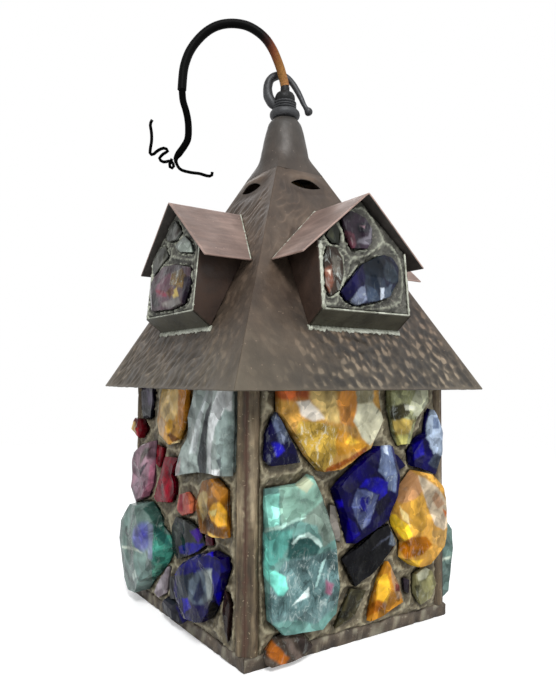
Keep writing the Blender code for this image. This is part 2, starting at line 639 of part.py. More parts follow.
def neck_section(height, radius, squareness, inset):
    """Ring of the neck at a height, between a square and a circle of a radius."""
    ring = []
    for i in range(NECK_SIDES):
        angle = 2 * math.pi * i / NECK_SIDES
        square = (NECK_BASE_HALF - inset) / max(abs(math.cos(angle)), abs(math.sin(angle)))
        reach = squareness * square + (1 - squareness) * (radius - inset)
        ring.append(Vector((reach * math.cos(angle), reach * math.sin(angle), height)))
    return ring


def roof_neck():
    """Sheet neck that turns the square roof into the round seat of the fittings."""
    bm = bmesh.new()
    base = NECK_BASE + GAP
    levels = [
        (0.0, NECK_SHOULDER_RADIUS, 1.0), (NECK_BEND_SHARE * NECK_SHOULDER_HEIGHT, NECK_SHOULDER_RADIUS, 0.5),
        (NECK_SHOULDER_HEIGHT, NECK_SHOULDER_RADIUS, 0.0), (NECK_MIDDLE_HEIGHT, NECK_MIDDLE_RADIUS, 0.0),
        (NECK_UPPER_HEIGHT, NECK_UPPER_RADIUS, 0.0), (NECK_HEIGHT, NECK_TOP_RADIUS, 0.0),
    ]
    outer = [neck_section(base + h, r, q, 0.0) for h, r, q in levels]
    levels[-1] = (NECK_HEIGHT - NECK_SHEET, NECK_TOP_RADIUS, 0.0)
    inner = [neck_section(base + h, r, q, NECK_SHEET) for h, r, q in levels]
    hole_top = neck_section(base + NECK_HEIGHT, ROD_HOLE, 0.0, 0.0)
    hole_low = neck_section(base + NECK_HEIGHT - NECK_SHEET, ROD_HOLE, 0.0, 0.0)
    ring_of_loops(bm, outer + [hole_top, hole_low] + inner[::-1])
    return mesh_from(bm, "roof_neck")


def build_roof():
    panel = roof_panel()
    for side, quarter in SIDES.items():
        place(f"roof_panel_{side}", panel, [COPPER], turn=quarter * math.pi / 2)
    place("roof_neck", roof_neck(), [NECK_METAL], smooth=40)


def dormer_roof_under(across, clearance=0.0):
    """Height of the dormer roof's underside at a distance from its middle."""
    fall = DORMER_ROOF_DROP / DORMER_ROOF_HALF
    upright = DORMER_ROOF_SHEET * math.hypot(1, fall)
    return DORMER_RIDGE_HEIGHT - abs(across) * fall - upright - clearance


def dormer_roof():
    """Folded sheet over a dormer, cut to lie against the main roof."""
    bm = bmesh.new()
    fall = DORMER_ROOF_DROP / DORMER_ROOF_HALF
    upright = DORMER_ROOF_SHEET * math.hypot(1, fall)
    eave = DORMER_RIDGE_HEIGHT - DORMER_ROOF_DROP
    section = [(-DORMER_ROOF_HALF, eave), (0.0, DORMER_RIDGE_HEIGHT), (DORMER_ROOF_HALF, eave),
               (DORMER_ROOF_HALF, eave - upright), (0.0, DORMER_RIDGE_HEIGHT - upright),
               (-DORMER_ROOF_HALF, eave - upright)]
    rest = GAP * math.hypot(1, ROOF_SLOPE) / ROOF_SLOPE
    rake = DORMER_ROOF_RAKE / DORMER_ROOF_HALF
    front = [Vector((x, -DORMER_ROOF_FRONT + rake * abs(x), z)) for x, z in section]
    back = [Vector((x, -roof_half(z) - rest, z)) for x, z in section]
    loft(bm, [front, back])
    return mesh_from(bm, "dormer_roof")


def dormer_point(across, up, out):
    """Point on the leaning dormer front: across, up the lean, and out of it."""
    return Vector((across,
                   -DORMER_SILL_FRONT + up * math.sin(DORMER_LEAN) - out * math.cos(DORMER_LEAN),
                   DORMER_SILL_HEIGHT + up * math.cos(DORMER_LEAN) + out * math.sin(DORMER_LEAN)))


def dormer_front_top(across):
    """How far up the leaning front the dormer roof's underside lies, less a gap."""
    return (dormer_roof_under(across, 2 * GAP) - DORMER_SILL_HEIGHT) / math.cos(DORMER_LEAN)


def dormer_box():
    """Cheeks and sloping apron of a dormer, folded from one sheet.

    The section across is a trough; it is swept down and inwards along the
    apron, and its ends follow the leaning front and the main roof.
    """
    bm = bmesh.new()
    half = DORMER_HALF_WIDTH
    inner = half - DORMER_SHEET
    rest = GAP * math.hypot(1, ROOF_SLOPE) / ROOF_SLOPE

    def front(across, up):
        return dormer_point(across, up, 0.0)

    def roof_point(across, z):
        return Vector((across, -roof_half(z) - rest, z))

    top_out = dormer_front_top(half)
    top_in = dormer_front_top(inner)
    front_ring = [front(-half, 0.0), front(half, 0.0), front(half, top_out), front(inner, top_in),
                  front(inner, DORMER_SHEET), front(-inner, DORMER_SHEET), front(-inner, top_in),
                  front(-half, top_out)]
    sill, floor = front_ring[0], front_ring[4]
    contact = DORMER_SILL_HEIGHT - DORMER_APRON_DROP
    slope = (sill.z - contact) / (sill.y - roof_point(0.0, contact).y)
    floor_contact = (floor.z + slope * (roof_point(0.0, 0.0).y - floor.y)) / (1.0 - slope / ROOF_SLOPE)
    back_heights = [contact, contact, front_ring[2].z, front_ring[3].z,
                    floor_contact, floor_contact, front_ring[6].z, front_ring[7].z]
    back_ring = [roof_point(p.x, z) for p, z in zip(front_ring, back_heights)]
    loft(bm, [back_ring, front_ring])
    return mesh_from(bm, "dormer_box")


def dormer_field():
    """Outline of the leading in a dormer's front, as (across, up)."""
    half = DORMER_HALF_WIDTH - DORMER_SHEET - GAP
    low = DORMER_SHEET + GAP * 2
    return [(-half, low), (half, low), (half, dormer_front_top(half)), (0.0, dormer_front_top(0.0)),
            (-half, dormer_front_top(half))]


def in_dormer(outline):
    """Design outline in millimetres to real places in the dormer's leading."""
    half_mm, low_mm, side_mm, middle_mm = DORMER_DESIGN
    _, (half, low), (_, side), (_, middle), _ = dormer_field()
    placed = []
    for u, v in outline:
        share = abs(u) / half_mm
        rise = (v - low_mm) / (middle_mm + (side_mm - middle_mm) * share - low_mm)
        placed.append((u / half_mm * half, low + rise * (middle + (side - middle) * share - low)))
    return placed


def dormer_leading(pieces):
    """Leading of a dormer's front: a hole for the main chunk, the rest fixed in it."""
    bm = bmesh.new()
    holes = [in_dormer(row[4]) for row in pieces if row[0]]
    bumps = []
    for name, colour, height, lean, outline_mm in pieces:
        if not name:
            small = in_dormer(outline_mm)
            rings = crown_rings(small, height, lean, dormer_point)
            bumps.append((small, rings, 1 + SMALL_GLASS.index(colour)))
    plate(bm, dormer_field(), holes,
          lambda p: dormer_point(p[0], p[1], 0.0),
          lambda p: dormer_point(p[0], p[1], -DORMER_LEADING_DEPTH), bumps=bumps)
    return mesh_from(bm, "dormer_leading")


def dormer_chunk(height, lean, outline_mm):
    """The named glass chunk of a dormer's front."""
    bm = bmesh.new()
    glass_chunk(bm, shrunk(in_dormer(outline_mm), GAP), DORMER_LEADING_DEPTH, height, lean, dormer_point)
    return mesh_from(bm, "dormer_chunk")


def build_dormers():
    roof = dormer_roof()
    box = dormer_box()
    leading = {kind: dormer_leading(pieces) for kind, pieces in DORMER_GLASS.items()}
    chunks = {kind: [(row[0], row[1], dormer_chunk(*row[2:])) for row in pieces if row[0]]
              for kind, pieces in DORMER_GLASS.items()}
    leading_finishes = [LEAD] + [GLASS_COLOURS[colour] for colour in SMALL_GLASS]
    for side, quarter in SIDES.items():
        turn = quarter * math.pi / 2
        kind = GLASS_TYPE[side]
        place(f"dormer_{side}_roof", roof, [PINK_COPPER], turn=turn)
        place(f"dormer_{side}_box", box, [DARK_COPPER], turn=turn)
        place(f"dormer_{side}_leading", leading[kind], leading_finishes, turn=turn)
        for name, colour, mesh in chunks[kind]:
            place(f"dormer_{side}_glass_{name}", mesh, [GLASS_COLOURS[colour]], turn=turn)


def rounded_band(inner, outer, height, bulge=3):
    """Profile of a ring whose outside is a half-round bead."""
    profile = [(inner, 0.0)]
    for i in range(bulge * 2 + 1):
        angle = -math.pi / 2 + math.pi * i / (bulge * 2)
        depth = min(outer - inner, height) * 0.5
        profile.append((outer - depth + depth * math.cos(angle), height / 2 + height / 2 * math.sin(angle)))
    profile.append((inner, height))
    return profile


def smooth_route(points, spacing):
    """Points about a spacing apart on a smooth curve through the given ones."""
    pts = [Vector(p) for p in points]
    pts = [2 * pts[0] - pts[1]] + pts + [2 * pts[-1] - pts[-2]]
    fine = []
    for a, b, c, d in zip(pts, pts[1:], pts[2:], pts[3:]):
        for k in range(ROUTE_STEPS):
            t = k / ROUTE_STEPS
            fine.append(0.5 * (2 * b + (c - a) * t + (2 * a - 5 * b + 4 * c - d) * t * t
                               + (3 * b - a - 3 * c + d) * t ** 3))
    fine.append(pts[-2])
    lengths = [0.0]
    for p, q in zip(fine, fine[1:]):
        lengths.append(lengths[-1] + (q - p).length)
    steps = max(2, round(lengths[-1] / spacing))
    route, k = [], 0
    for i in range(steps + 1):
        want = lengths[-1] * i / steps
        while k < len(lengths) - 2 and lengths[k + 1] < want:
            k += 1
        share = (want - lengths[k]) / max(lengths[k + 1] - lengths[k], 1e-12)
        route.append(fine[k].lerp(fine[k + 1], min(max(share, 0.0), 1.0)))
    return route


def hook_plane(along, up, forward, base):
    """Point of the hook's plane, in millimetres from a base height, to metres."""
    flat = Matrix.Rotation(HOOK_TURN, 3, "Z") @ Vector((along * MM, -forward * MM, 0.0))
    return Vector((flat.x, flat.y, base + up * MM))


def hook_bar():
    """Tapered round bar of the hook, from its collar round to its ball tip."""
    bm = bmesh.new()
    centres = [hook_plane(a, u, -b, 0.0) for a, u, b, _ in HOOK_BAR]
    rings = []
    side = None
    for i, (centre, row) in enumerate(zip(centres, HOOK_BAR)):
        ahead = centres[min(i + 1, len(centres) - 1)] - centres[max(i - 1, 0)]
        ahead.normalize()
        start = side if side is not None else Vector((0, 0, 1)).cross(ahead)
        side = (start - ahead * start.dot(ahead)).normalized()
        other = ahead.cross(side)
        ring = []
        for k in range(HOOK_SIDES):
            angle = 2 * math.pi * k / HOOK_SIDES
            ring.append(centre + (side * math.cos(angle) + other * math.sin(angle)) * row[3] * MM)
        rings.append(ring)
    loft(bm, rings)
    return mesh_from(bm, "hook_bar")


def hexagon_nut(top):
    """Lock nut: a hexagon outside, a round hole inside."""
    bm = bmesh.new()
    angles = [2 * math.pi * i / NUT_STEPS for i in range(NUT_STEPS)]
    sixth = math.pi / 6
    reaches = [NUT_HALF_FLATS / math.cos((angle + sixth) % (2 * sixth) - sixth) for angle in angles]
    rings = []
    for reach, height in ((1, top - NUT_HEIGHT), (1, top), (0, top), (0, top - NUT_HEIGHT)):
        rings.append([Vector((math.cos(angle), math.sin(angle), 0)) * (flat if reach else ROD_HOLE)
                      + Vector((0, 0, height)) for angle, flat in zip(angles, reaches)])
    ring_of_loops(bm, rings)
    return mesh_from(bm, "lock_nut")


def build_fittings():
    ring = turned(rounded_band(ROD_HOLE, NECK_RING_RADIUS, NECK_RING_HEIGHT))
    place("neck_ring", mesh_from(ring, "neck_ring"), [IRON], height=RING_BASE, smooth=50)

    collar = turned(rounded_band(ROD_HOLE, HOOK_COLLAR_RADIUS, HOOK_COLLAR_HEIGHT))
    hook = place("hook", mesh_from(collar, "hook_collar"), [IRON], height=HOOK_BASE, smooth=50)
    bar = place("hook_bar_shape", hook_bar(), [IRON], height=HOOK_BASE, smooth=50)
    bar.hide_render = True
    bar.display_type = "WIRE"
    joined = hook.modifiers.new("bar", "BOOLEAN")
    joined.operation = "UNION"
    joined.object = bar

    top = GROMMET_HEIGHT
    neck = GROMMET_HEIGHT + GROMMET_NECK_HEIGHT
    grommet = turned([(0, 0), (GROMMET_RADIUS * 0.94, 0), (GROMMET_RADIUS, top * 0.3),
                      (GROMMET_RADIUS * 0.93, top * 0.66), (GROMMET_RADIUS * 0.7, top * 0.92),
                      (GROMMET_NECK_RADIUS, top), (GROMMET_NECK_RADIUS, neck), (0, neck)])
    place("cord_grommet", mesh_from(grommet, "cord_grommet"), [RUBBER], height=GROMMET_BASE, smooth=50)

    rod_low = CAP_TOP - ROD_END_IN_CAP
    rod_high = HOOK_BASE + ROD_TOP_IN_HOOK
    rod = turned([(ROD_BORE, rod_low), (ROD_RADIUS, rod_low), (ROD_RADIUS, rod_high), (ROD_BORE, rod_high)],
                 ROD_SIDES)
    place("threaded_rod", mesh_from(rod, "threaded_rod"), [BRASS], smooth=50)

    place("lock_nut", hexagon_nut(NECK_TOP - NECK_SHEET - GAP), [BRASS])


def build_lamp():
    inside = HOLDER_RADIUS - HOLDER_SHEET
    tall = CAP_HEIGHT
    dome = turned([(ROD_HOLE, tall), (CAP_TOP_RADIUS, tall), (HOLDER_RADIUS * 0.85, tall * 0.66),
                   (HOLDER_RADIUS, tall * 0.28), (HOLDER_RADIUS, 0), (inside, 0), (inside, tall * 0.24),
                   (inside * 0.83, tall * 0.62), (CAP_TOP_RADIUS - HOLDER_SHEET * 0.5, tall - HOLDER_SHEET),
                   (ROD_HOLE, tall - HOLDER_SHEET)])
    place("holder_cap", mesh_from(dome, "holder_cap"), [BRASS], height=CAP_BASE, smooth=50)

    shell = turned([(inside, 0), (HOLDER_RADIUS, 0), (HOLDER_RADIUS, SHELL_HEIGHT), (inside, SHELL_HEIGHT)])
    place("holder_shell", mesh_from(shell, "holder_shell"), [BRASS], height=SHELL_BASE, smooth=50)

    liner = THREAD_RADIUS + GAP
    low = BULB_BASE_END
    insert = turned([(0, INSERT_TOP), (0, INSERT_UNDERSIDE), (liner, INSERT_UNDERSIDE), (liner, low),
                     (liner + THREAD_LINER, low), (liner + THREAD_LINER, INSERT_UNDERSIDE + THREAD_LINER),
                     (inside - GAP, INSERT_UNDERSIDE + THREAD_LINER), (inside - GAP, INSERT_TOP)])
    place("holder_interior", mesh_from(insert, "holder_interior"), [PORCELAIN], smooth=50)

    bm = bmesh.new()
    rise = CONTACT_SPRING_RISE
    sheet = CONTACT_SHEET
    far, bend, near = CONTACT_HALF_LENGTH, CONTACT_HALF_LENGTH * 0.7, CONTACT_HALF_LENGTH * 0.3
    section = [(-far, 0), (-bend, 0), (-near, sheet - rise), (near, sheet - rise), (bend, 0), (far, 0),
               (far, -sheet), (bend, -sheet), (near, -rise), (-near, -rise), (-bend, -sheet), (-far, -sheet)]
    loft(bm, [[Vector((x, y, z)) for x, z in section] for y in (-CONTACT_HALF_WIDTH, CONTACT_HALF_WIDTH)])
    place("contact_spring", mesh_from(bm, "contact_spring"), [BRASS], height=CONTACT_TOP)

    wall = BULB_BASE_SHEET
    tall = BULB_BASE_HEIGHT
    base = turned([(THREAD_RADIUS, 0), (THREAD_RADIUS, tall * 0.9), (THREAD_RADIUS * 0.8, tall),
                   (BULB_TIP_RADIUS, tall), (BULB_TIP_RADIUS, tall + BULB_TIP_HEIGHT * 0.5),
                   (BULB_TIP_RADIUS * 0.6, tall + BULB_TIP_HEIGHT), (0, tall + BULB_TIP_HEIGHT),
                   (0, tall - wall), (THREAD_RADIUS * 0.8 - wall, tall - wall),
                   (THREAD_RADIUS - wall, tall * 0.9 - wall / 2), (THREAD_RADIUS - wall, 0)])
    place("bulb_base", mesh_from(base, "bulb_base"), [BRASS], height=BULB_BASE_END, smooth=50)

    outside = bulb_profile(0.0)
    bulb = turned(outside + bulb_profile(BULB_WALL)[::-1])
    place("bulb_glass", mesh_from(bulb, "bulb_glass"), [BULB_GLASS], height=BULB_BASE_END, smooth=60)


def bulb_profile(inset):
    """Half outline of the bulb from its open neck down to its lowest point."""
    neck = BULB_NECK_RADIUS - inset
    centre = BULB_RADIUS - BULB_LENGTH
    reach = BULB_RADIUS - inset
    shoulder = math.radians(BULB_SHOULDER)
    profile = [(neck, -GAP), (neck * 1.03, -BULB_NECK_LENGTH)]
    for step in range(BULB_STEPS):
        angle = shoulder - (shoulder + math.pi / 2) * step / (BULB_STEPS - 1)
        profile.append((reach * math.cos(angle), centre + reach * math.sin(angle)))
    profile[-1] = (0.0, centre - reach)
    return profile


def tube(name, route, diameter, finish, narrow=None):
    """Round cord along a route of points, with its ends closed.

    narrow is (share of the length, share of the radius): the cord keeps its
    radius up to about there and then thins to that share of it.
    """
    curve = bpy.data.curves.new(name, "CURVE")
    curve.dimensions = "3D"
    curve.bevel_depth = diameter / 2
    curve.bevel_resolution = 2
    curve.use_fill_caps = True
    spline = curve.splines.new("POLY")
    spline.points.add(len(route) - 1)
    for i, (point, there) in enumerate(zip(spline.points, route)):
        point.co = (*there, 1.0)
        if narrow:
            after = min(max((i / (len(route) - 1) - narrow[0]) / NARROWING_SHARE, 0.0), 1.0)
            point.radius = 1.0 - after * (1.0 - narrow[1])
    curve.materials.append(material(finish))
    bpy.context.scene.collection.objects.link(bpy.data.objects.new(name, curve))


def cord_route(route, spacing, upright=0.0):
    """Route in the hook's plane to points of the model, its start upright if asked."""
    points = smooth_route([hook_plane(a, u, f, GROMMET_TOP) for a, u, f in route], spacing)
    if upright:
        points.insert(1, points[0] + Vector((0.0, 0.0, upright)))
    return points


def build_cord():
    tube("cord_sleeve", cord_route(SLEEVE_ROUTE, 2 * SLEEVE_DIAMETER, SLEEVE_DIAMETER / 2),
         SLEEVE_DIAMETER, SLEEVE)
    tube("cord_flex", cord_route(FLEX_ROUTE, FLEX_DIAMETER), FLEX_DIAMETER, RUBBER,
         narrow=(FLEX_SHARE, WIRE_DIAMETER / FLEX_DIAMETER))
    tube("cord_wire", cord_route(WIRE_ROUTE, 1.5 * WIRE_DIAMETER), WIRE_DIAMETER, RUBBER)
    lead = [Vector((0, 0, INSERT_TOP + GAP)), Vector((0, 0, GROMMET_BASE - GAP))]
    tube("inner_lead", lead, LEAD_DIAMETER, RUBBER)


clear_scene()
build_walls()
build_roof()
build_dormers()
build_fittings()
build_lamp()
build_cord()
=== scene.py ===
"""Looks of the hanging lantern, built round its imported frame.

The walls carry rough knapped glass in uneven leading, the roof is hammered copper,
and the cord stands over the hook in an arch. Lengths in the tables are millimetres.
"""
import math
import random

import bmesh
import bpy
import numpy as np
from mathutils import Matrix, Vector, noise


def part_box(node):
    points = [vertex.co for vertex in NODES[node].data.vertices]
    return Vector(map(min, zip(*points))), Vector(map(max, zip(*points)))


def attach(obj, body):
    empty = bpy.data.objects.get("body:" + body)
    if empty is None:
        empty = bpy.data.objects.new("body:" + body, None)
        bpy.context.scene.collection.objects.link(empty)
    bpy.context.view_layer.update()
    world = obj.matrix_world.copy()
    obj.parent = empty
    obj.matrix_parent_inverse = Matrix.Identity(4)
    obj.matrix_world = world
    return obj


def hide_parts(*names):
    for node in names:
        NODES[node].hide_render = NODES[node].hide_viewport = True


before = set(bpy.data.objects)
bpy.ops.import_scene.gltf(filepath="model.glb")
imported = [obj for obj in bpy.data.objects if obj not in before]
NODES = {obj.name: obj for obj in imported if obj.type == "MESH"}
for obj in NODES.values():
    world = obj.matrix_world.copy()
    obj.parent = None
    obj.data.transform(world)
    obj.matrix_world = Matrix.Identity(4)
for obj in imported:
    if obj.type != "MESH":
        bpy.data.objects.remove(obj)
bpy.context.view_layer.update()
MM = 0.001
# Gap that touching pieces of the frame keep
GAP = 0.0003

# Sides of the lantern in quarter turns, and the two sides that each glass layout is on
SIDES = {"front": 0, "right": 1, "back": 2, "left": 3}
SIDES_OF = {"front": ("front", "back"), "left": ("right", "left")}

# Sizes of the part, read from the frame where one of its boxes gives them
BOX_SIDE = 0.170
BOX_HALF = BOX_SIDE / 2
WALL_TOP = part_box("wall_front_frame")[1].z
FIELD_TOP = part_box("wall_front_leading")[1].z / MM
PANEL_LOW, PANEL_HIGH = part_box("roof_panel_front")
EAVE_HEIGHT = PANEL_LOW.z
NECK_BASE = PANEL_HIGH.z
HIP_GAP = GAP / math.sqrt(2)
EAVE_HALF = PANEL_HIGH.x + HIP_GAP
ROOF_SLOPE = 1.9626
ROOF_SHEET = 0.0012
NECK_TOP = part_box("roof_neck")[1].z
RING_LOW, RING_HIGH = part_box("neck_ring")
HOOK_BASE = RING_HIGH.z + GAP
GROMMET_LOW, GROMMET_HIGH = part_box("cord_grommet")
HOOK_TURN = math.radians(-34.4)

# Camera of the photograph
CAMERA_PLACE = (-0.2771, -0.4025, 0.1694)
CAMERA_YAW = math.radians(34.05)
CAMERA_PITCH = math.radians(2.83)
CAMERA_ROLL = math.radians(0.35)
CAMERA_LENS = 32.78


def placed(name, data):
    """Object with the data, linked to the scene."""
    thing = bpy.data.objects.new(name, data)
    bpy.context.scene.collection.objects.link(thing)
    return thing


def add_camera():
    """Camera of the photograph, from its place and its three turns."""
    forward = Vector((math.sin(CAMERA_YAW) * math.cos(CAMERA_PITCH),
                      math.cos(CAMERA_YAW) * math.cos(CAMERA_PITCH), math.sin(CAMERA_PITCH)))
    right = Vector((math.cos(CAMERA_YAW), -math.sin(CAMERA_YAW), 0.0))
    up = right.cross(forward)
    across = right * math.cos(CAMERA_ROLL) + up * math.sin(CAMERA_ROLL)
    above = up * math.cos(CAMERA_ROLL) - right * math.sin(CAMERA_ROLL)
    data = bpy.data.cameras.new("camera")
    data.lens = CAMERA_LENS
    data.clip_start = 0.01
    camera = placed("camera", data)
    turn = Matrix((across, above, -forward)).transposed().to_4x4()
    camera.matrix_world = Matrix.Translation(CAMERA_PLACE) @ turn
    bpy.context.scene.camera = camera


# Cord. Its routes are in millimetres: along the hook's plane, above the grommet's top, and in front of
# that plane. The flex narrows to one bare wire past a share of its run.
SLEEVE_DIAMETER = 0.0070
FLEX_DIAMETER = 0.0054
WIRE_DIAMETER = 0.0024
FLEX_SHARE = 0.56
FLEX_TAPER = 0.08
CORD_STEP = 0.0022
SLEEVE_ROUTE = [
    (0.0, 0.3, 0.0), (-0.7, 3.5, 0.4), (-2.0, 8.0, 1.9), (-3.8, 13.5, 3.4), (-6.4, 20.0, 4.6),
    (-9.6, 27.0, 5.4), (-15.0, 35.2, 5.9), (-22.3, 41.8, 6.0), (-31.3, 46.4, 6.0), (-42.4, 47.9, 6.0),
    (-52.9, 46.1, 6.0), (-61.9, 41.0, 6.0), (-69.6, 33.1, 6.0), (-74.9, 24.8, 6.0), (-78.2, 15.6, 6.0),
    (-79.6, 7.3, 6.0), (-80.4, -5.5, 6.0),
]
FLEX_ROUTE = [
    (-80.2, -6.0, 6.0), (-79.4, -14.0, 6.0), (-77.0, -22.0, 6.0), (-75.4, -29.5, 6.0), (-74.8, -37.5, 6.0),
    (-75.4, -45.0, 6.0), (-78.3, -50.6, 6.0), (-82.0, -56.0, 6.0), (-84.4, -60.0, 6.0), (-83.6, -64.2, 6.0),
    (-80.4, -68.6, 6.0), (-72.9, -70.8, 6.0), (-65.8, -71.7, 6.0), (-60.2, -73.4, 6.0), (-56.6, -73.4, 6.0),
    (-56.0, -70.6, 6.0),
]
WIRE_ROUTE = [
    (-87.3, -60.0, 6.0), (-89.4, -64.4, 4.8), (-88.2, -66.9, 3.8), (-86.4, -64.6, 2.9), (-89.0, -60.6, 2.2),
    (-94.4, -61.4, 2.2), (-97.6, -59.4, 3.6), (-94.6, -56.3, 5.2), (-90.4, -54.2, 6.8), (-93.2, -52.6, 8.4),
    (-98.0, -54.4, 8.0), (-101.8, -57.2, 7.2), (-104.2, -56.4, 6.6), (-104.2, -52.2, 6.2),
    (-103.4, -46.0, 6.0), (-103.6, -39.5, 6.0), (-104.6, -33.0, 6.0), (-103.2, -29.5, 6.0),
]


def hook_plane(along, up, forward, base):
    """Point of the hook's plane, in millimetres from a base height, to metres."""
    flat = Matrix.Rotation(HOOK_TURN, 3, "Z") @ Vector((along * MM, -forward * MM, 0.0))
    return Vector((flat.x, flat.y, base + up * MM))


def smooth_route(points, spacing):
    """Points about a spacing apart on a smooth curve through the given ones."""
    pts = [Vector(p) for p in points]
    pts = [2 * pts[0] - pts[1]] + pts + [2 * pts[-1] - pts[-2]]
    fine = []
    for a, b, c, d in zip(pts, pts[1:], pts[2:], pts[3:]):
        for k in range(12):
            t = k / 12
            fine.append(0.5 * (2 * b + (c - a) * t + (2 * a - 5 * b + 4 * c - d) * t * t
                               + (3 * b - a - 3 * c + d) * t ** 3))
    fine.append(pts[-2])
    lengths = [0.0]
    for p, q in zip(fine, fine[1:]):
        lengths.append(lengths[-1] + (q - p).length)
    steps = max(2, round(lengths[-1] / spacing))
    route, k = [], 0
    for i in range(steps + 1):
        want = lengths[-1] * i / steps
        while k < len(lengths) - 2 and lengths[k + 1] < want:
            k += 1
        share = (want - lengths[k]) / max(lengths[k + 1] - lengths[k], 1e-12)
        route.append(fine[k].lerp(fine[k + 1], unit(share)))
    return route


def unit(value):
    """The value, kept between 0 and 1."""
    return min(1.0, max(0.0, value))


def linear(red, green, blue):
    """Screen colour from 0 to 255 to the renderer's own values."""
    return tuple(c / 12.92 if c <= 0.04045 else ((c + 0.055) / 1.055) ** 2.4
                 for c in (red / 255, green / 255, blue / 255))


def brighter(colour, gain):
    """Screen colour that gives so many times the light."""
    return tuple(255 * (1.055 * min(1.0, gain * c) ** (1 / 2.4) - 0.055) for c in linear(*colour))


class Nodes:
    """Short ways to wire the nodes of a tree. Colours are screen colours from 0 to 255."""

    def __init__(self, tree):
        self.tree = tree

    def add(self, kind, **values):
        """New node with its settings."""
        node = self.tree.nodes.new(kind)
        for key, value in values.items():
            setattr(node, key, value)
        return node

    def link(self, source, target):
        self.tree.links.new(source, target)

    def feed(self, node, *inputs):
        """Give inputs of a node their sources, numbers or colours."""
        for key, value in inputs:
            if isinstance(value, (int, float)):
                node.inputs[key].default_value = value
            elif isinstance(value, tuple):
                node.inputs[key].default_value = (*linear(*value), 1.0)
            else:
                self.link(value, node.inputs[key])

    def show(self, output, shader):
        """Make a shader the one that an output node shows."""
        self.link(shader, self.tree.nodes[output].inputs["Surface"])

    def maths(self, operation, one, other):
        """Number from two numbers or sources."""
        node = self.add("ShaderNodeMath", operation=operation)
        self.feed(node, (0, one), (1, other))
        return node.outputs[0]

    def blend(self, factor, one, other):
        """Shader between two shaders."""
        node = self.add("ShaderNodeMixShader")
        self.feed(node, (0, factor), (1, one), (2, other))
        return node.outputs[0]


class Finish(Nodes):
    """Procedural material on the object's own coordinates."""

    def __init__(self, name, roughness=0.5, metallic=0.0, shine=0.5):
        self.material = bpy.data.materials.new(name)
        self.material.use_nodes = True
        super().__init__(self.material.node_tree)
        self.shader = self.tree.nodes["Principled BSDF"]
        self.feed(self.shader, ("Roughness", roughness), ("Metallic", metallic),
                  ("Specular IOR Level", shine))
        self.place = self.add("ShaderNodeTexCoord").outputs["Object"]

    def mapped(self, scale, shift=(0.0, 0.0, 0.0)):
        """The object's coordinates, stretched and shifted."""
        node = self.add("ShaderNodeMapping")
        node.inputs["Location"].default_value = shift
        node.inputs["Scale"].default_value = scale
        self.link(self.place, node.inputs["Vector"])
        return node.outputs["Vector"]

    def noise(self, scale, detail=4.0, rough=0.55, stretch=None, distortion=0.0, output="Fac"):
        node = self.add("ShaderNodeTexNoise")
        self.feed(node, ("Scale", scale), ("Detail", detail), ("Roughness", rough),
                  ("Distortion", distortion), ("Vector", self.mapped(stretch) if stretch else self.place))
        return node.outputs[output]

    def vector(self, operation, one, *others):
        """Vector sum of sources, a source scaled by a number, or the length of a source."""
        node = self.add("ShaderNodeVectorMath", operation=operation)
        self.feed(node, (0, one), *(("Scale" if operation == "SCALE" else 1, other) for other in others))
        return node.outputs["Value" if operation == "LENGTH" else "Vector"]

    def attribute(self, name):
        """Value that the mesh holds for each point."""
        return self.add("ShaderNodeAttribute", attribute_name=name).outputs["Fac"]

    def ramp(self, factor, stops):
        """Colour ramp; each stop is (place, value or colour)."""
        node = self.add("ShaderNodeValToRGB")
        points = node.color_ramp.elements
        while len(points) < len(stops):
            points.new(0.5)
        for point, (at, colour) in zip(points, stops):
            point.position = at
            point.color = (*(linear(*colour) if isinstance(colour, tuple) else (colour,) * 3), 1.0)
        self.link(factor, node.inputs["Fac"])
        return node.outputs["Color"]

    def mix(self, factor, one, other, kind="MIX"):
        node = self.add("ShaderNodeMix", data_type="RGBA", blend_type=kind)
        node.clamp_factor = True
        self.feed(node, (0, factor), (6, one), (7, other))
        return node.outputs[2]

    def times(self, one, other):
        """Product of two colours."""
        return self.mix(1.0, one, other, "MULTIPLY")

    def axis(self, name):
        node = self.add("ShaderNodeSeparateXYZ")
        self.link(self.place, node.inputs[0])
        return node.outputs[name]

    def span(self, value, low, high):
        """Value from low to high as 0 to 1."""
        node = self.add("ShaderNodeMapRange")
        self.feed(node, ("From Min", low), ("From Max", high), ("Value", value))
        return node.outputs["Result"]

    def bump(self, height, distance, strength, after=None):
        """Relief from a height, on top of another one."""
        node = self.add("ShaderNodeBump")
        self.feed(node, ("Distance", distance), ("Strength", strength), ("Height", height))
        if after is not None:
            self.link(after, node.inputs["Normal"])
        return node.outputs["Normal"]

    def finish(self, colour, roughness, normal):
        """The material, with what feeds its shader."""
        for key, value in (("Base Color", colour), ("Roughness", roughness), ("Normal", normal)):
            if value is not None:
                self.link(value, self.shader.inputs[key])
        return self.material


# Small hammer marks: how many per metre, how long they are drawn, and where their light comes from
MARK_SCALE = 150
MARK_STRETCH = (1.15, 1.0, 0.80)
MARK_SHIFT = 0.0011


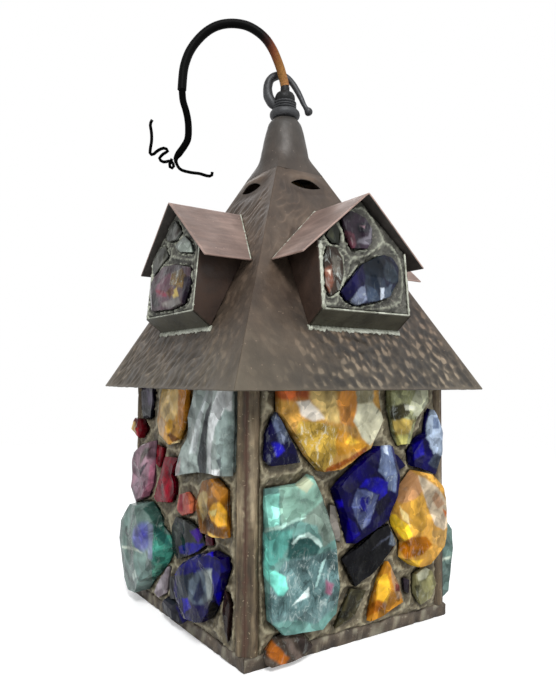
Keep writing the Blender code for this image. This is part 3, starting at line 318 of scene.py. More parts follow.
def marks(n, mask):
    """Small hammer marks where the mask asks for them: painted light and shade on their sides, as a colour
    factor, and their height.
    """
    sides = []
    for shift in (MARK_SHIFT, -MARK_SHIFT):
        cell = n.add("ShaderNodeTexVoronoi", feature="SMOOTH_F1")
        n.feed(cell, ("Scale", MARK_SCALE), ("Smoothness", 0.25),
               ("Vector", n.mapped(MARK_STRETCH, (-shift * 0.75, 0.0, -shift))))
        sides.append(cell.outputs["Distance"])
    # Painted light and shade: each mark lighter on one side and darker on the other.
    slope = n.maths("MULTIPLY", n.maths("SUBTRACT", sides[0], sides[1]), n.span(n.noise(70, 2), 0.22, 0.55))
    shade = n.ramp(n.span(slope, -0.26, 0.26), [(0.16, 0.26), (0.50, 0.66), (0.70, 0.86), (0.94, 2.70)])
    return n.mix(mask, (255, 255, 255), shade), n.maths("MULTIPLY", sides[0], mask)


def hammered_copper(name, dark, middle, light, low_tone, low, high, lined=False):
    """Patinated sheet: mottled, another tone towards its low edge, lighter on worn spots and painted
    highlights, darker in dents, painted shade on the marks, painted glints.
    """
    n = Finish(name, metallic=0.12)
    mottle = n.ramp(n.noise(28, 6, 0.6), [(0.30, dark), (0.52, middle), (0.74, light)])
    if lined:
        streaks = n.ramp(n.noise(520, 3, 0.6, stretch=(0.12, 0.12, 1)), [(0.35, 0.86), (0.65, 1.14)])
    else:
        streaks = n.ramp(n.noise(90, 3, 0.5, stretch=(1, 1, 0.25)), [(0.35, 0.78), (0.65, 1.12)])
    fade = n.maths("MULTIPLY", n.span(n.axis("Z"), high, low), n.noise(14, 4))
    colour = n.mix(fade, n.times(mottle, streaks), low_tone)
    # Lighter on worn high spots and on painted highlights, darker in the dents.
    colour = n.times(colour, n.ramp(n.attribute("WearAndShade"), [(0.0, 0.46), (0.5, 1.0), (1.0, 2.4)]))
    # Painted light and shade of the small hammer marks.
    shade, height = marks(n, n.attribute("Marks"))
    # Painted glints: tiny specks brighter than the sheet's lightest tone.
    glint_specks = n.ramp(n.noise(420, 2, 0.5), [(0.70, 0.0), (0.78, 0.55)])
    colour = n.mix(glint_specks, n.times(colour, shade), brighter(light, 2.2))
    rough = n.ramp(n.noise(60, 4), [(0.3, 0.42), (0.7, 0.62)])
    normal = n.bump(n.noise(260, 4, 0.6), 0.0006, 0.5, after=n.bump(height, 0.0016, 0.8))
    return n.finish(colour, rough, normal)


def lead_material(name, dark, middle, light, pale):
    """Lumpy leading: dull, with painted shade in its hollows by the glass and painted highlights on its
    ridges.
    """
    n = Finish(name, metallic=0.15)
    wear_and_shade = n.attribute("WearAndShade")
    mottle = n.ramp(n.noise(70, 6, 0.65), [(0.30, dark), (0.50, middle), (0.72, light)])
    # Painted shade where the value is low, by the glass; painted highlight where it is high, on crests and
    # the lip.
    colour = n.times(mottle, n.ramp(wear_and_shade, [(0.0, 0.30), (0.40, 0.78), (0.75, 1.25), (1.0, 1.70)]))
    # Pale tone over the highest ridges as painted highlight.
    colour = n.mix(n.ramp(wear_and_shade, [(0.60, 0.0), (0.95, 0.75)]), colour, pale)
    grains = n.ramp(n.noise(520, 3, 0.6), [(0.62, 0.0), (0.74, 0.5)])
    colour = n.mix(grains, colour, (186, 178, 160))
    rough = n.ramp(n.noise(120, 3), [(0.3, 0.42), (0.7, 0.70)])
    return n.finish(colour, rough, n.bump(n.noise(330, 5, 0.65), 0.0010, 0.6))


def glass_material(name):
    """Thick rough glass, tinted point by point, with painted light and shade in shard-like cells and soft
    patches, flaked where the tint's alpha asks for it, its pale flakes partly painted glints.
    """
    n = Finish(name, roughness=0.05, shine=0.10)
    n.feed(n.shader, ("IOR", 1.5))
    tint = n.add("ShaderNodeAttribute", attribute_name="Tint")
    flaked = n.maths("MULTIPLY", tint.outputs["Alpha"], 2.0)
    ripple = n.noise(70, 2, 0.5, output="Color")
    shards = n.add("ShaderNodeTexVoronoi", feature="F1")
    n.feed(shards, ("Scale", 105), ("Vector", n.vector("ADD", n.place, n.vector("SCALE", ripple, 0.016))))
    # Painted light and shade: shard-like cells lighter and darker, like light broken inside the glass.
    shade = n.ramp(shards.outputs["Color"], [(0.15, 0.62), (0.50, 0.92), (0.85, 1.24)])
    # Painted light and shade in soft patches, for depth.
    depth = n.ramp(n.noise(75, 3, 0.5, distortion=0.6), [(0.30, 0.40), (0.50, 0.88), (0.70, 1.46)])
    colour = n.times(n.times(tint.outputs["Color"], shade), depth)
    flakes = n.noise(210, 6, 0.72, stretch=(1, 1, 0.5), distortion=1.1)
    light = n.maths("MULTIPLY", n.ramp(flakes, [(0.53, 0.0), (0.66, 0.62)]), flaked)
    dark = n.maths("MULTIPLY", n.ramp(flakes, [(0.33, 0.62), (0.46, 0.0)]), flaked)
    colour = n.mix(dark, colour, n.mix(0.75, colour, (12, 16, 18)))
    # Pale flakes: crackle that also stands in for glints.
    colour = n.mix(light, colour, n.mix(0.6, colour, (226, 236, 230)))
    waves = n.bump(n.noise(60, 3, 0.5, distortion=0.8), 0.0014, 0.30)
    return n.finish(colour, None, n.bump(n.maths("MULTIPLY", flakes, flaked), 0.0010, 0.6, after=waves))


def bar_material(name):
    """Olive-brown bars with pale and dark streaks along them, painted highlight on the crests, painted shade
    down the flanks, reddish brown low down.
    """
    n = Finish(name, metallic=0.2)
    wear_and_shade = n.attribute("WearAndShade")
    colour = n.ramp(n.noise(150, 5, 0.6, stretch=(1, 1, 0.10)),
                    [(0.34, (53, 41, 29)), (0.50, (97, 83, 62)), (0.68, (151, 136, 110))])
    colour = n.times(colour, n.ramp(n.noise(55, 6, 0.65), [(0.35, 0.62), (0.65, 1.22)]))
    # Painted highlight along the crest, painted shade down the flanks and at the back.
    colour = n.times(colour, n.ramp(wear_and_shade, [(0.0, 0.30), (0.5, 0.85), (1.0, 1.30)]))
    # Reddish brown low on the flanks.
    colour = n.mix(n.ramp(wear_and_shade, [(0.08, 0.85), (0.42, 0.0)]), colour, (84, 58, 44))
    flecks = n.ramp(n.noise(600, 2), [(0.66, 0.0), (0.76, 0.6)])
    colour = n.mix(flecks, colour, (200, 182, 150))
    rough = n.ramp(n.noise(90, 3), [(0.3, 0.45), (0.7, 0.7)])
    return n.finish(colour, rough, n.bump(n.noise(240, 5, 0.6, stretch=(1, 1, 0.3)), 0.0010, 0.6))


def simple_metal(name, dark, light, metallic, rough, scale=60, grain=0.0004, shine=0.5):
    """Plain mottled surface with a fine grain, also for rubber, porcelain and glass bulbs."""
    n = Finish(name, metallic=metallic, shine=shine)
    colour = n.ramp(n.noise(scale, 5, 0.6), [(0.3, dark), (0.7, light)])
    roughness = n.ramp(n.noise(2 * scale, 3), [(0.3, rough * 0.8), (0.7, min(1.0, rough * 1.25))])
    return n.finish(colour, roughness, n.bump(n.noise(5 * scale, 4), grain, 0.5))


def sleeve_material():
    """Sleeve of the cord: amber by the grommet, then red-brown, then black."""
    n = Finish("cord_sleeve_finish", roughness=0.5, shine=0.06)
    height = n.span(n.axis("Z"), GROMMET_HIGH.z, GROMMET_HIGH.z + 0.060)
    aside = n.span(n.axis("X"), 0.004, -0.030)
    run = n.maths("ADD", n.maths("MULTIPLY", aside, 0.8), n.maths("MULTIPLY", height, 0.2))
    run = n.maths("ADD", run, n.maths("MULTIPLY", n.noise(300, 3), 0.10))
    colour = n.ramp(run, [(0.06, (150, 92, 62)), (0.14, (160, 112, 70)), (0.30, (148, 106, 58)),
                          (0.50, (112, 62, 38)), (0.62, (44, 22, 18)), (0.74, (2, 2, 2))])
    weave = n.ramp(n.noise(900, 2), [(0.35, 0.75), (0.65, 1.15)])
    return n.finish(n.times(colour, weave), None, n.bump(n.noise(700, 3), 0.0003, 0.5))


GLASS = glass_material("rough_glass")
LEADING = lead_material("leading_finish", (60, 53, 39), (107, 98, 77), (154, 144, 118), (168, 162, 136))
# Darker copy of the leading for the dormer fronts, as painted shade.
SHADED_DORMER_LEAD = lead_material("shaded_dormer_leading_finish", (46, 46, 41), (78, 77, 69), (112, 112, 102),
                            (172, 175, 156))
BARS = bar_material("bar_finish")
RAIL = lead_material("rail_finish", (48, 40, 33), (80, 69, 57), (116, 103, 86), (150, 146, 126))
ROOF = hammered_copper("roof_finish", (52, 40, 32), (81, 67, 55), (109, 94, 80), (84, 80, 66),
                       EAVE_HEIGHT, EAVE_HEIGHT + 0.060)
DORMER = hammered_copper("dormer_finish", (112, 92, 84), (129, 108, 99), (144, 123, 113), (122, 110, 98),
                         EAVE_HEIGHT, EAVE_HEIGHT + 0.050, lined=True)
NECK = hammered_copper("neck_finish", (44, 37, 30), (68, 58, 50), (91, 81, 72), (41, 45, 45),
                       NECK_TOP, NECK_BASE + 0.006)
CHEEK = simple_metal("cheek_finish", (34, 22, 15), (62, 43, 31), 0.1, 0.6)
APRON = simple_metal("apron_finish", (44, 42, 31), (72, 69, 54), 0.2, 0.5)
SOLDER = simple_metal("solder_finish", (118, 119, 103), (214, 217, 201), 0.2, 0.5, scale=160)
# Dark grey for the undersides of the dormer roofs: painted shade.
SHADED_UNDERSIDE = simple_metal("shaded_underside_finish", (44, 40, 37), (74, 69, 64), 0.1, 0.6)
IRON = simple_metal("iron_finish", (33, 34, 36), (68, 69, 71), 0.35, 0.5, scale=110)
BRASS = simple_metal("brass_finish", (96, 74, 40), (150, 120, 66), 0.8, 0.4)
PORCELAIN = simple_metal("porcelain_finish", (224, 220, 208), (240, 238, 230), 0.0, 0.25, grain=0.0001)
RUBBER = simple_metal("rubber_finish", (7, 7, 7), (18, 18, 19), 0.0, 0.50, scale=200, grain=0.0002,
                      shine=0.25)
BLACK_CORD = simple_metal("black_cord_finish", (1, 1, 1), (4, 4, 4), 0.0, 0.75, scale=300, shine=0.03)
BULB = simple_metal("bulb_finish", (228, 228, 220), (244, 244, 238), 0.0, 0.2, grain=0.0001)
SLEEVE = sleeve_material()


def add_piece(name, mesh, finishes, body="root", replaces=(), side="front", angle=30):
    """Put a finished mesh on a side of the lantern, tie it to its body and hide the nodes it replaces."""
    for finish in finishes:
        if finish.name not in mesh.materials:
            mesh.materials.append(finish)
    if angle:
        mesh.shade_smooth()
        mesh.set_sharp_from_angle(angle=math.radians(angle))
    piece = placed(name, mesh)
    piece.rotation_euler = (0.0, 0.0, SIDES[side] * math.pi / 2)
    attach(piece, body)
    if replaces:
        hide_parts(*replaces)
    return piece


def shaded_worn_mesh():
    """New mesh with a value at each point for how worn it is and for its painted light and shade."""
    bm = bmesh.new()
    return bm, bm.verts.layers.float.new("WearAndShade")


def mesh_from(bm, name, closed=True):
    """Mesh of a finished shape. A closed one gets its faces turned outwards."""
    if closed:
        bmesh.ops.recalc_face_normals(bm, faces=bm.faces[:])
    mesh = bpy.data.meshes.new(name)
    bm.to_mesh(mesh)
    bm.free()
    return mesh


def noise_at(*place):
    return noise.noise(Vector(place))


def turns(count):
    """Angles of a full circle in even steps."""
    return [2 * math.pi * k / count for k in range(count)]


def skin(bm, rings, ends=True, closed=False):
    """Faces from ring to ring, with flat ends, or back to the first ring."""
    for one, other in zip(rings, rings[1:] + (rings[:1] if closed else [])):
        for k in range(len(one)):
            j = (k + 1) % len(one)
            bm.faces.new((one[k], one[j], other[j], other[k]))
    if ends:
        bm.faces.new(rings[0])
        bm.faces.new(rings[-1])


def net(bm, rows):
    """Faces of an open sheet between its rows of points."""
    for one, other in zip(rows, rows[1:]):
        for k in range(len(one) - 1):
            bm.faces.new((one[k], one[k + 1], other[k + 1], other[k]))


def wall_point(across, up, out):
    """Point of the front wall, from millimetres across, up and out of its face."""
    return Vector((across * MM - BOX_HALF, -BOX_HALF - out * MM, up * MM))


# Glass of the front wall. Each piece: name, colour as seen on the screen, how far it stands out, how
# its crown leans, how flaked it is, its outline as across,up after across,up, and its facets of other
# colour as (colour, how flaked, softness of the edge, outline); the palest are painted highlights and
# reflections. Facets are noted where they look to be from the camera, parts of a piece under the eave too.
FRONT_GLASS = [
    ("amber_top", (206, 156, 76), 9, (2, -1), 0.3,
     [21,178, 22,150, 42,124, 52,114, 66,115, 92,127, 101,142, 94,178], [
        ((196, 96, 44), 0.1, 3, [14,176, 60,176, 60,159, 50,156, 38,157, 30,154, 20,158]),
        ((240, 206, 128), 0.2, 2, [48,178, 62,178, 70,152, 74,143, 68,141, 58,144, 54,150, 46,157]),
        ((255, 244, 226), 0, 1.2, [36,155, 40,147, 50,143, 58,144, 54,150, 46,156]),
        ((222, 166, 76), 0.2, 1.5, [22,157, 36,155, 40,147, 36,141, 28,147]),
        ((196, 160, 66), 1.4, 1, [38,143, 50,143, 62,140, 70,138, 72,130, 68,121, 60,111, 50,113, 44,122,
         36,134]),
        ((206, 136, 52), 0.2, 1.5, [68,156, 80,178, 88,150, 83,138, 72,141]),
        ((148, 140, 108), 0.5, 1, [82,178, 100,178, 100,154, 86,152]),
        ((226, 222, 190), 0.3, 1, [86,153, 100,154, 112,142, 104,131, 97,125, 89,132, 83,142]),
        ((204, 144, 40), 0.3, 1, [69,138, 80,134, 92,129, 96,125, 80,121, 70,120, 67,127]),
        ((250, 196, 60), 0.2, 0.8, [79,133, 88,128, 80,126, 76,129]),
        ((148, 78, 18), 0.3, 0.8, [60,113, 80,119, 94,125, 94,121, 70,112, 58,109])]),
    ("blue_corner", (12, 10, 52), 6, (1, 0), 0.3,
     [19,147, 14,136, 13,122, 16,119, 35,119.5, 26,135], [
        ((82, 92, 116), 0.9, 1, [17,148, 26,146, 28,138, 31,132, 24,130, 21,138]),
        ((26, 20, 168), 0.3, 0.8, [18,131, 24,131, 28,126, 22,122]),
        ((140, 150, 176), 0.5, 0.6, [24,137, 28,134, 27,130])]),
    ("aqua", (104, 146, 138), 10, (0, -1), 0.3,
     [14,103, 36,104, 43,108, 50,97, 57,80, 62,60, 64,40, 61,27, 52,20, 24,22, 17,29, 14,60], [
        ((138, 178, 160), 0.2, 0.8, [24,106, 36,105, 44,111, 52,106, 58,94, 52,88, 38,83, 25,82]),
        ((172, 180, 152), 0.1, 0.8, [36,105, 43,110, 50,104, 44,99]),
        ((164, 246, 226), 0.1, 0.5, [12,100, 24,101, 24,82, 14,80]),
        ((116, 134, 122), 0.3, 1.2, [40,83, 57,93, 64,80, 68,68, 58,64, 52,78, 46,80]),
        ((92, 164, 152), 0.3, 1.5, [13,79, 34,78, 32,70, 26,62, 15,56]),
        ((190, 232, 216), 0, 0.5, [14,81.5, 24,81, 38,84.5, 44,84, 38,82.5, 24,79, 14,79]),
        ((44, 84, 80), 0.5, 1, [31,72, 38,74, 46,74, 56,66, 52,59, 40,57, 30,62]),
        ((196, 226, 216), 0.1, 0.5, [33,70, 39,74, 46,74.5, 53,70, 57,65, 55,64, 51,68, 46,72, 39,72,
         35,69]),
        ((98, 130, 130), 1.5, 1.2, [28,60, 56,60, 68,62, 72,46, 68,30, 52,23, 36,24, 18,25, 16,34, 18,46]),
        ((128, 226, 206), 0.2, 0.8, [14,74, 17,57, 23,54, 29,50, 31,43, 27,39, 22,43, 17,50, 13,54]),
        ((222, 240, 236), 0.2, 0.5, [33,32, 40,37, 47,42, 47,36, 38,34]),
        ((182, 222, 216), 0.1, 0.4, [60,57, 58,53, 53,41, 51,40, 56,55]),
        ((140, 92, 112), 1, 1.2, [60,44, 66,40, 64,33, 59,36]),
        ((100, 128, 128), 0.9, 1, [18,27, 36,24, 52,18, 68,26, 72,36, 60,30, 46,27, 30,29])]),
    ("cobalt", (5, 0, 60), 13, (3, 2), 0.05,
     [65,99, 71,84, 77,67, 88,71, 101,76, 108,90, 109,106, 104,122, 98,122, 86,115], [
        ((6, 0, 74), 0.05, 1, [64,104, 82,115, 104,134, 106,122, 104,112, 98,104, 86,102, 76,100]),
        ((96, 110, 142), 1.2, 0.8, [105,134, 112,132, 118,118, 122,105, 120,92, 113,95, 110,104, 104,108,
         107,118]),
        ((196, 208, 226), 0.3, 0.6, [108,131, 112,127, 114,118, 110,120]),
        ((14, 6, 150), 0.05, 0.8, [88,99, 94,104, 104,104, 113,100, 112,90, 104,84, 105,92, 94,97]),
        ((84, 94, 140), 0.5, 0.8, [81,88, 86,98, 94,96, 104,92, 100,82, 96,74, 90,71, 84,80]),
        ((22, 20, 110), 0.3, 1.0, [88,92, 96,92, 94,82, 88,82]),
        ((4, 0, 62), 0, 0.8, [61,97, 76,100, 80,84, 76,68, 71,80, 66,90]),
        ((20, 8, 160), 0, 0.8, [68,92, 73,92, 74,87, 70,87]),
        ((6, 2, 34), 0.1, 0.8, [104,88, 113,93, 116,86, 106,78, 101,82]),
        ((12, 2, 120), 0.05, 0.8, [76,62, 88,68, 84,76, 78,80])]),
    ("blue_sliver", (8, 4, 60), 3, (0, 0), 0,
     [113,120, 119,117, 127,110, 117,106], [
        ((12, 8, 20), 0, 1, [112,122, 120,119, 118,112])]),
    ("lime", (150, 152, 108), 7, (0, 2), 0.7,
     [112,178, 113,150, 117,134, 122,125, 128,125, 137,142, 147,153, 148,178], [
        ((198, 200, 168), 0.5, 1, [134,150, 150,178, 158,178, 152,148, 142,142]),
        ((66, 62, 38), 0.8, 1, [116,151, 130,153, 135,146, 124,140, 116,142]),
        ((192, 166, 84), 0.3, 1, [117,141, 128,142, 139,141, 134,132, 121,129]),
        ((224, 224, 200), 0.2, 0.6, [129,152, 141,151, 140,148, 130,148]),
        ((198, 192, 110), 0.2, 0.8, [121,131, 133,131, 131,122, 123,122])]),
    ("cobalt_side", (6, 1, 70), 9, (2, -2), 0.05,
     [151,146, 156,134, 157,118, 151,106, 133,112, 132,119, 140,128, 148,131], [
        ((18, 6, 160), 0, 1, [137,124, 148,127, 148,116, 138,113]),
        ((164, 180, 202), 0.7, 0.8, [151,138, 156,150, 162,150, 166,138, 170,128, 168,112, 158,116,
         151,128]),
        ((96, 112, 140), 0.5, 0.6, [158,142, 163,142, 164,134, 158,134]),
        ((54, 64, 84), 0.2, 0.8, [153,110, 160,117, 170,112, 162,104])]),
    ("amber_side", (212, 158, 70), 14, (3, -1), 0.15,
     [134,104, 143,102, 151,94, 156,82, 157,66, 153,54, 143,46, 131,45, 124,50, 125,60, 117,71, 115,81,
     122,93], [
        ((198, 146, 98), 0.15, 1, [119,98, 132,108, 142,102, 148,92, 140,86, 126,84, 119,88]),
        ((254, 208, 52), 0.2, 0.6, [112,80, 120,77, 126,73, 134,66, 137,60, 130,57, 121,65, 113,72]),
        ((250, 222, 150), 0.2, 0.5, [124,83, 132,75, 134,67, 127,73]),
        ((228, 172, 66), 0.2, 1, [134,84, 148,88, 152,76, 148,62, 137,61, 133,74]),
        ((218, 198, 168), 0.35, 0.8, [142,102, 152,98, 162,92, 171,82, 178,66, 168,60, 158,66, 152,78,
         147,90]),
        ((190, 150, 116), 0.3, 0.8, [160,90, 170,80, 162,76, 156,84]),
        ((232, 128, 60), 0, 0.8, [167,76, 172,73, 170,70]),
        ((168, 100, 14), 0.4, 1, [121,56, 136,60, 150,59, 156,52, 146,46, 130,46]),
        ((252, 200, 62), 0.2, 0.6, [123,48, 134,44, 147,43, 141,38, 129,40]),
        ((200, 156, 84), 0.2, 0.8, [156,62, 174,60, 178,54, 166,48, 156,53])]),
    ("black_bar", (12, 12, 16), 5, (0, 0), 0.05,
     [73,54, 82,38, 94,42, 116,59, 110,71, 100,69], [
        ((58, 62, 76), 0.2, 0.5, [98,56, 108,62, 118,64, 108,60]),
        ((84, 94, 108), 0.5, 0.8, [116,66, 124,62, 121,55, 114,58])]),
    ("olive_low", (66, 62, 42), 2, (0, 0), 0.3,
     [67,13, 83,19, 91,31, 80,34], [
        ((40, 38, 28), 0.3, 1.5, [74,17, 84,22, 86,30, 79,31])]),
    ("amber_low", (196, 132, 40), 7, (0, 1), 0.2,
     [109,45, 104,36, 99,25, 95,13.5, 103,14.5, 120,20, 117,31], [
        ((246, 188, 52), 0.1, 0.8, [103,37, 112,39, 116,28, 112,19, 103,24]),
        ((172, 134, 96), 0.3, 0.8, [116,44, 124,36, 134,20, 122,20, 117,32]),
        ((112, 52, 44), 0.3, 0.6, [120,31, 125,30, 124,25, 120,26]),
        ((160, 92, 18), 0.3, 0.8, [92,13, 112,17, 104,23, 98,22])]),
    ("clear_low", (142, 138, 98), 6, (0, 0), 0.4,
     [137,34, 137,22, 142,15, 149,18, 154,26, 151,34, 145,37], [
        ((214, 214, 182), 0.3, 0.8, [140,36, 154,36, 150,29, 142,29]),
        ((180, 176, 122), 0.3, 0.8, [145,27, 156,31, 158,21, 148,19]),
        ((84, 82, 56), 0.3, 0.6, [138,26, 144,26, 142,18])]),
    ("shard", (84, 72, 62), 8, (0, -6), 0.4,
     [15,9.5, 38,9.5, 43,12, 39,16, 31,18.5, 21,16], [
        ((186, 104, 30), 0.3, 1, [14,15, 20,15, 32,2, 28,-2, 16,8]),
        ((124, 108, 98), 0.2, 0.8, [26,16, 30,17, 42,0, 38,-2]),
        ((58, 48, 44), 0.3, 1, [36,14, 52,10, 48,-2, 44,-2])]),
    ("grey_sliver", (126, 120, 112), 1, (0, 0), 0.1,
     [63,89, 63,80, 68,67, 71,66, 70,73, 66,88], []),
    ("plum_sliver", (40, 30, 40), 1, (0, 0), 0.1,
     [127.5,33, 128,25, 131.5,23, 132,31], []),
]

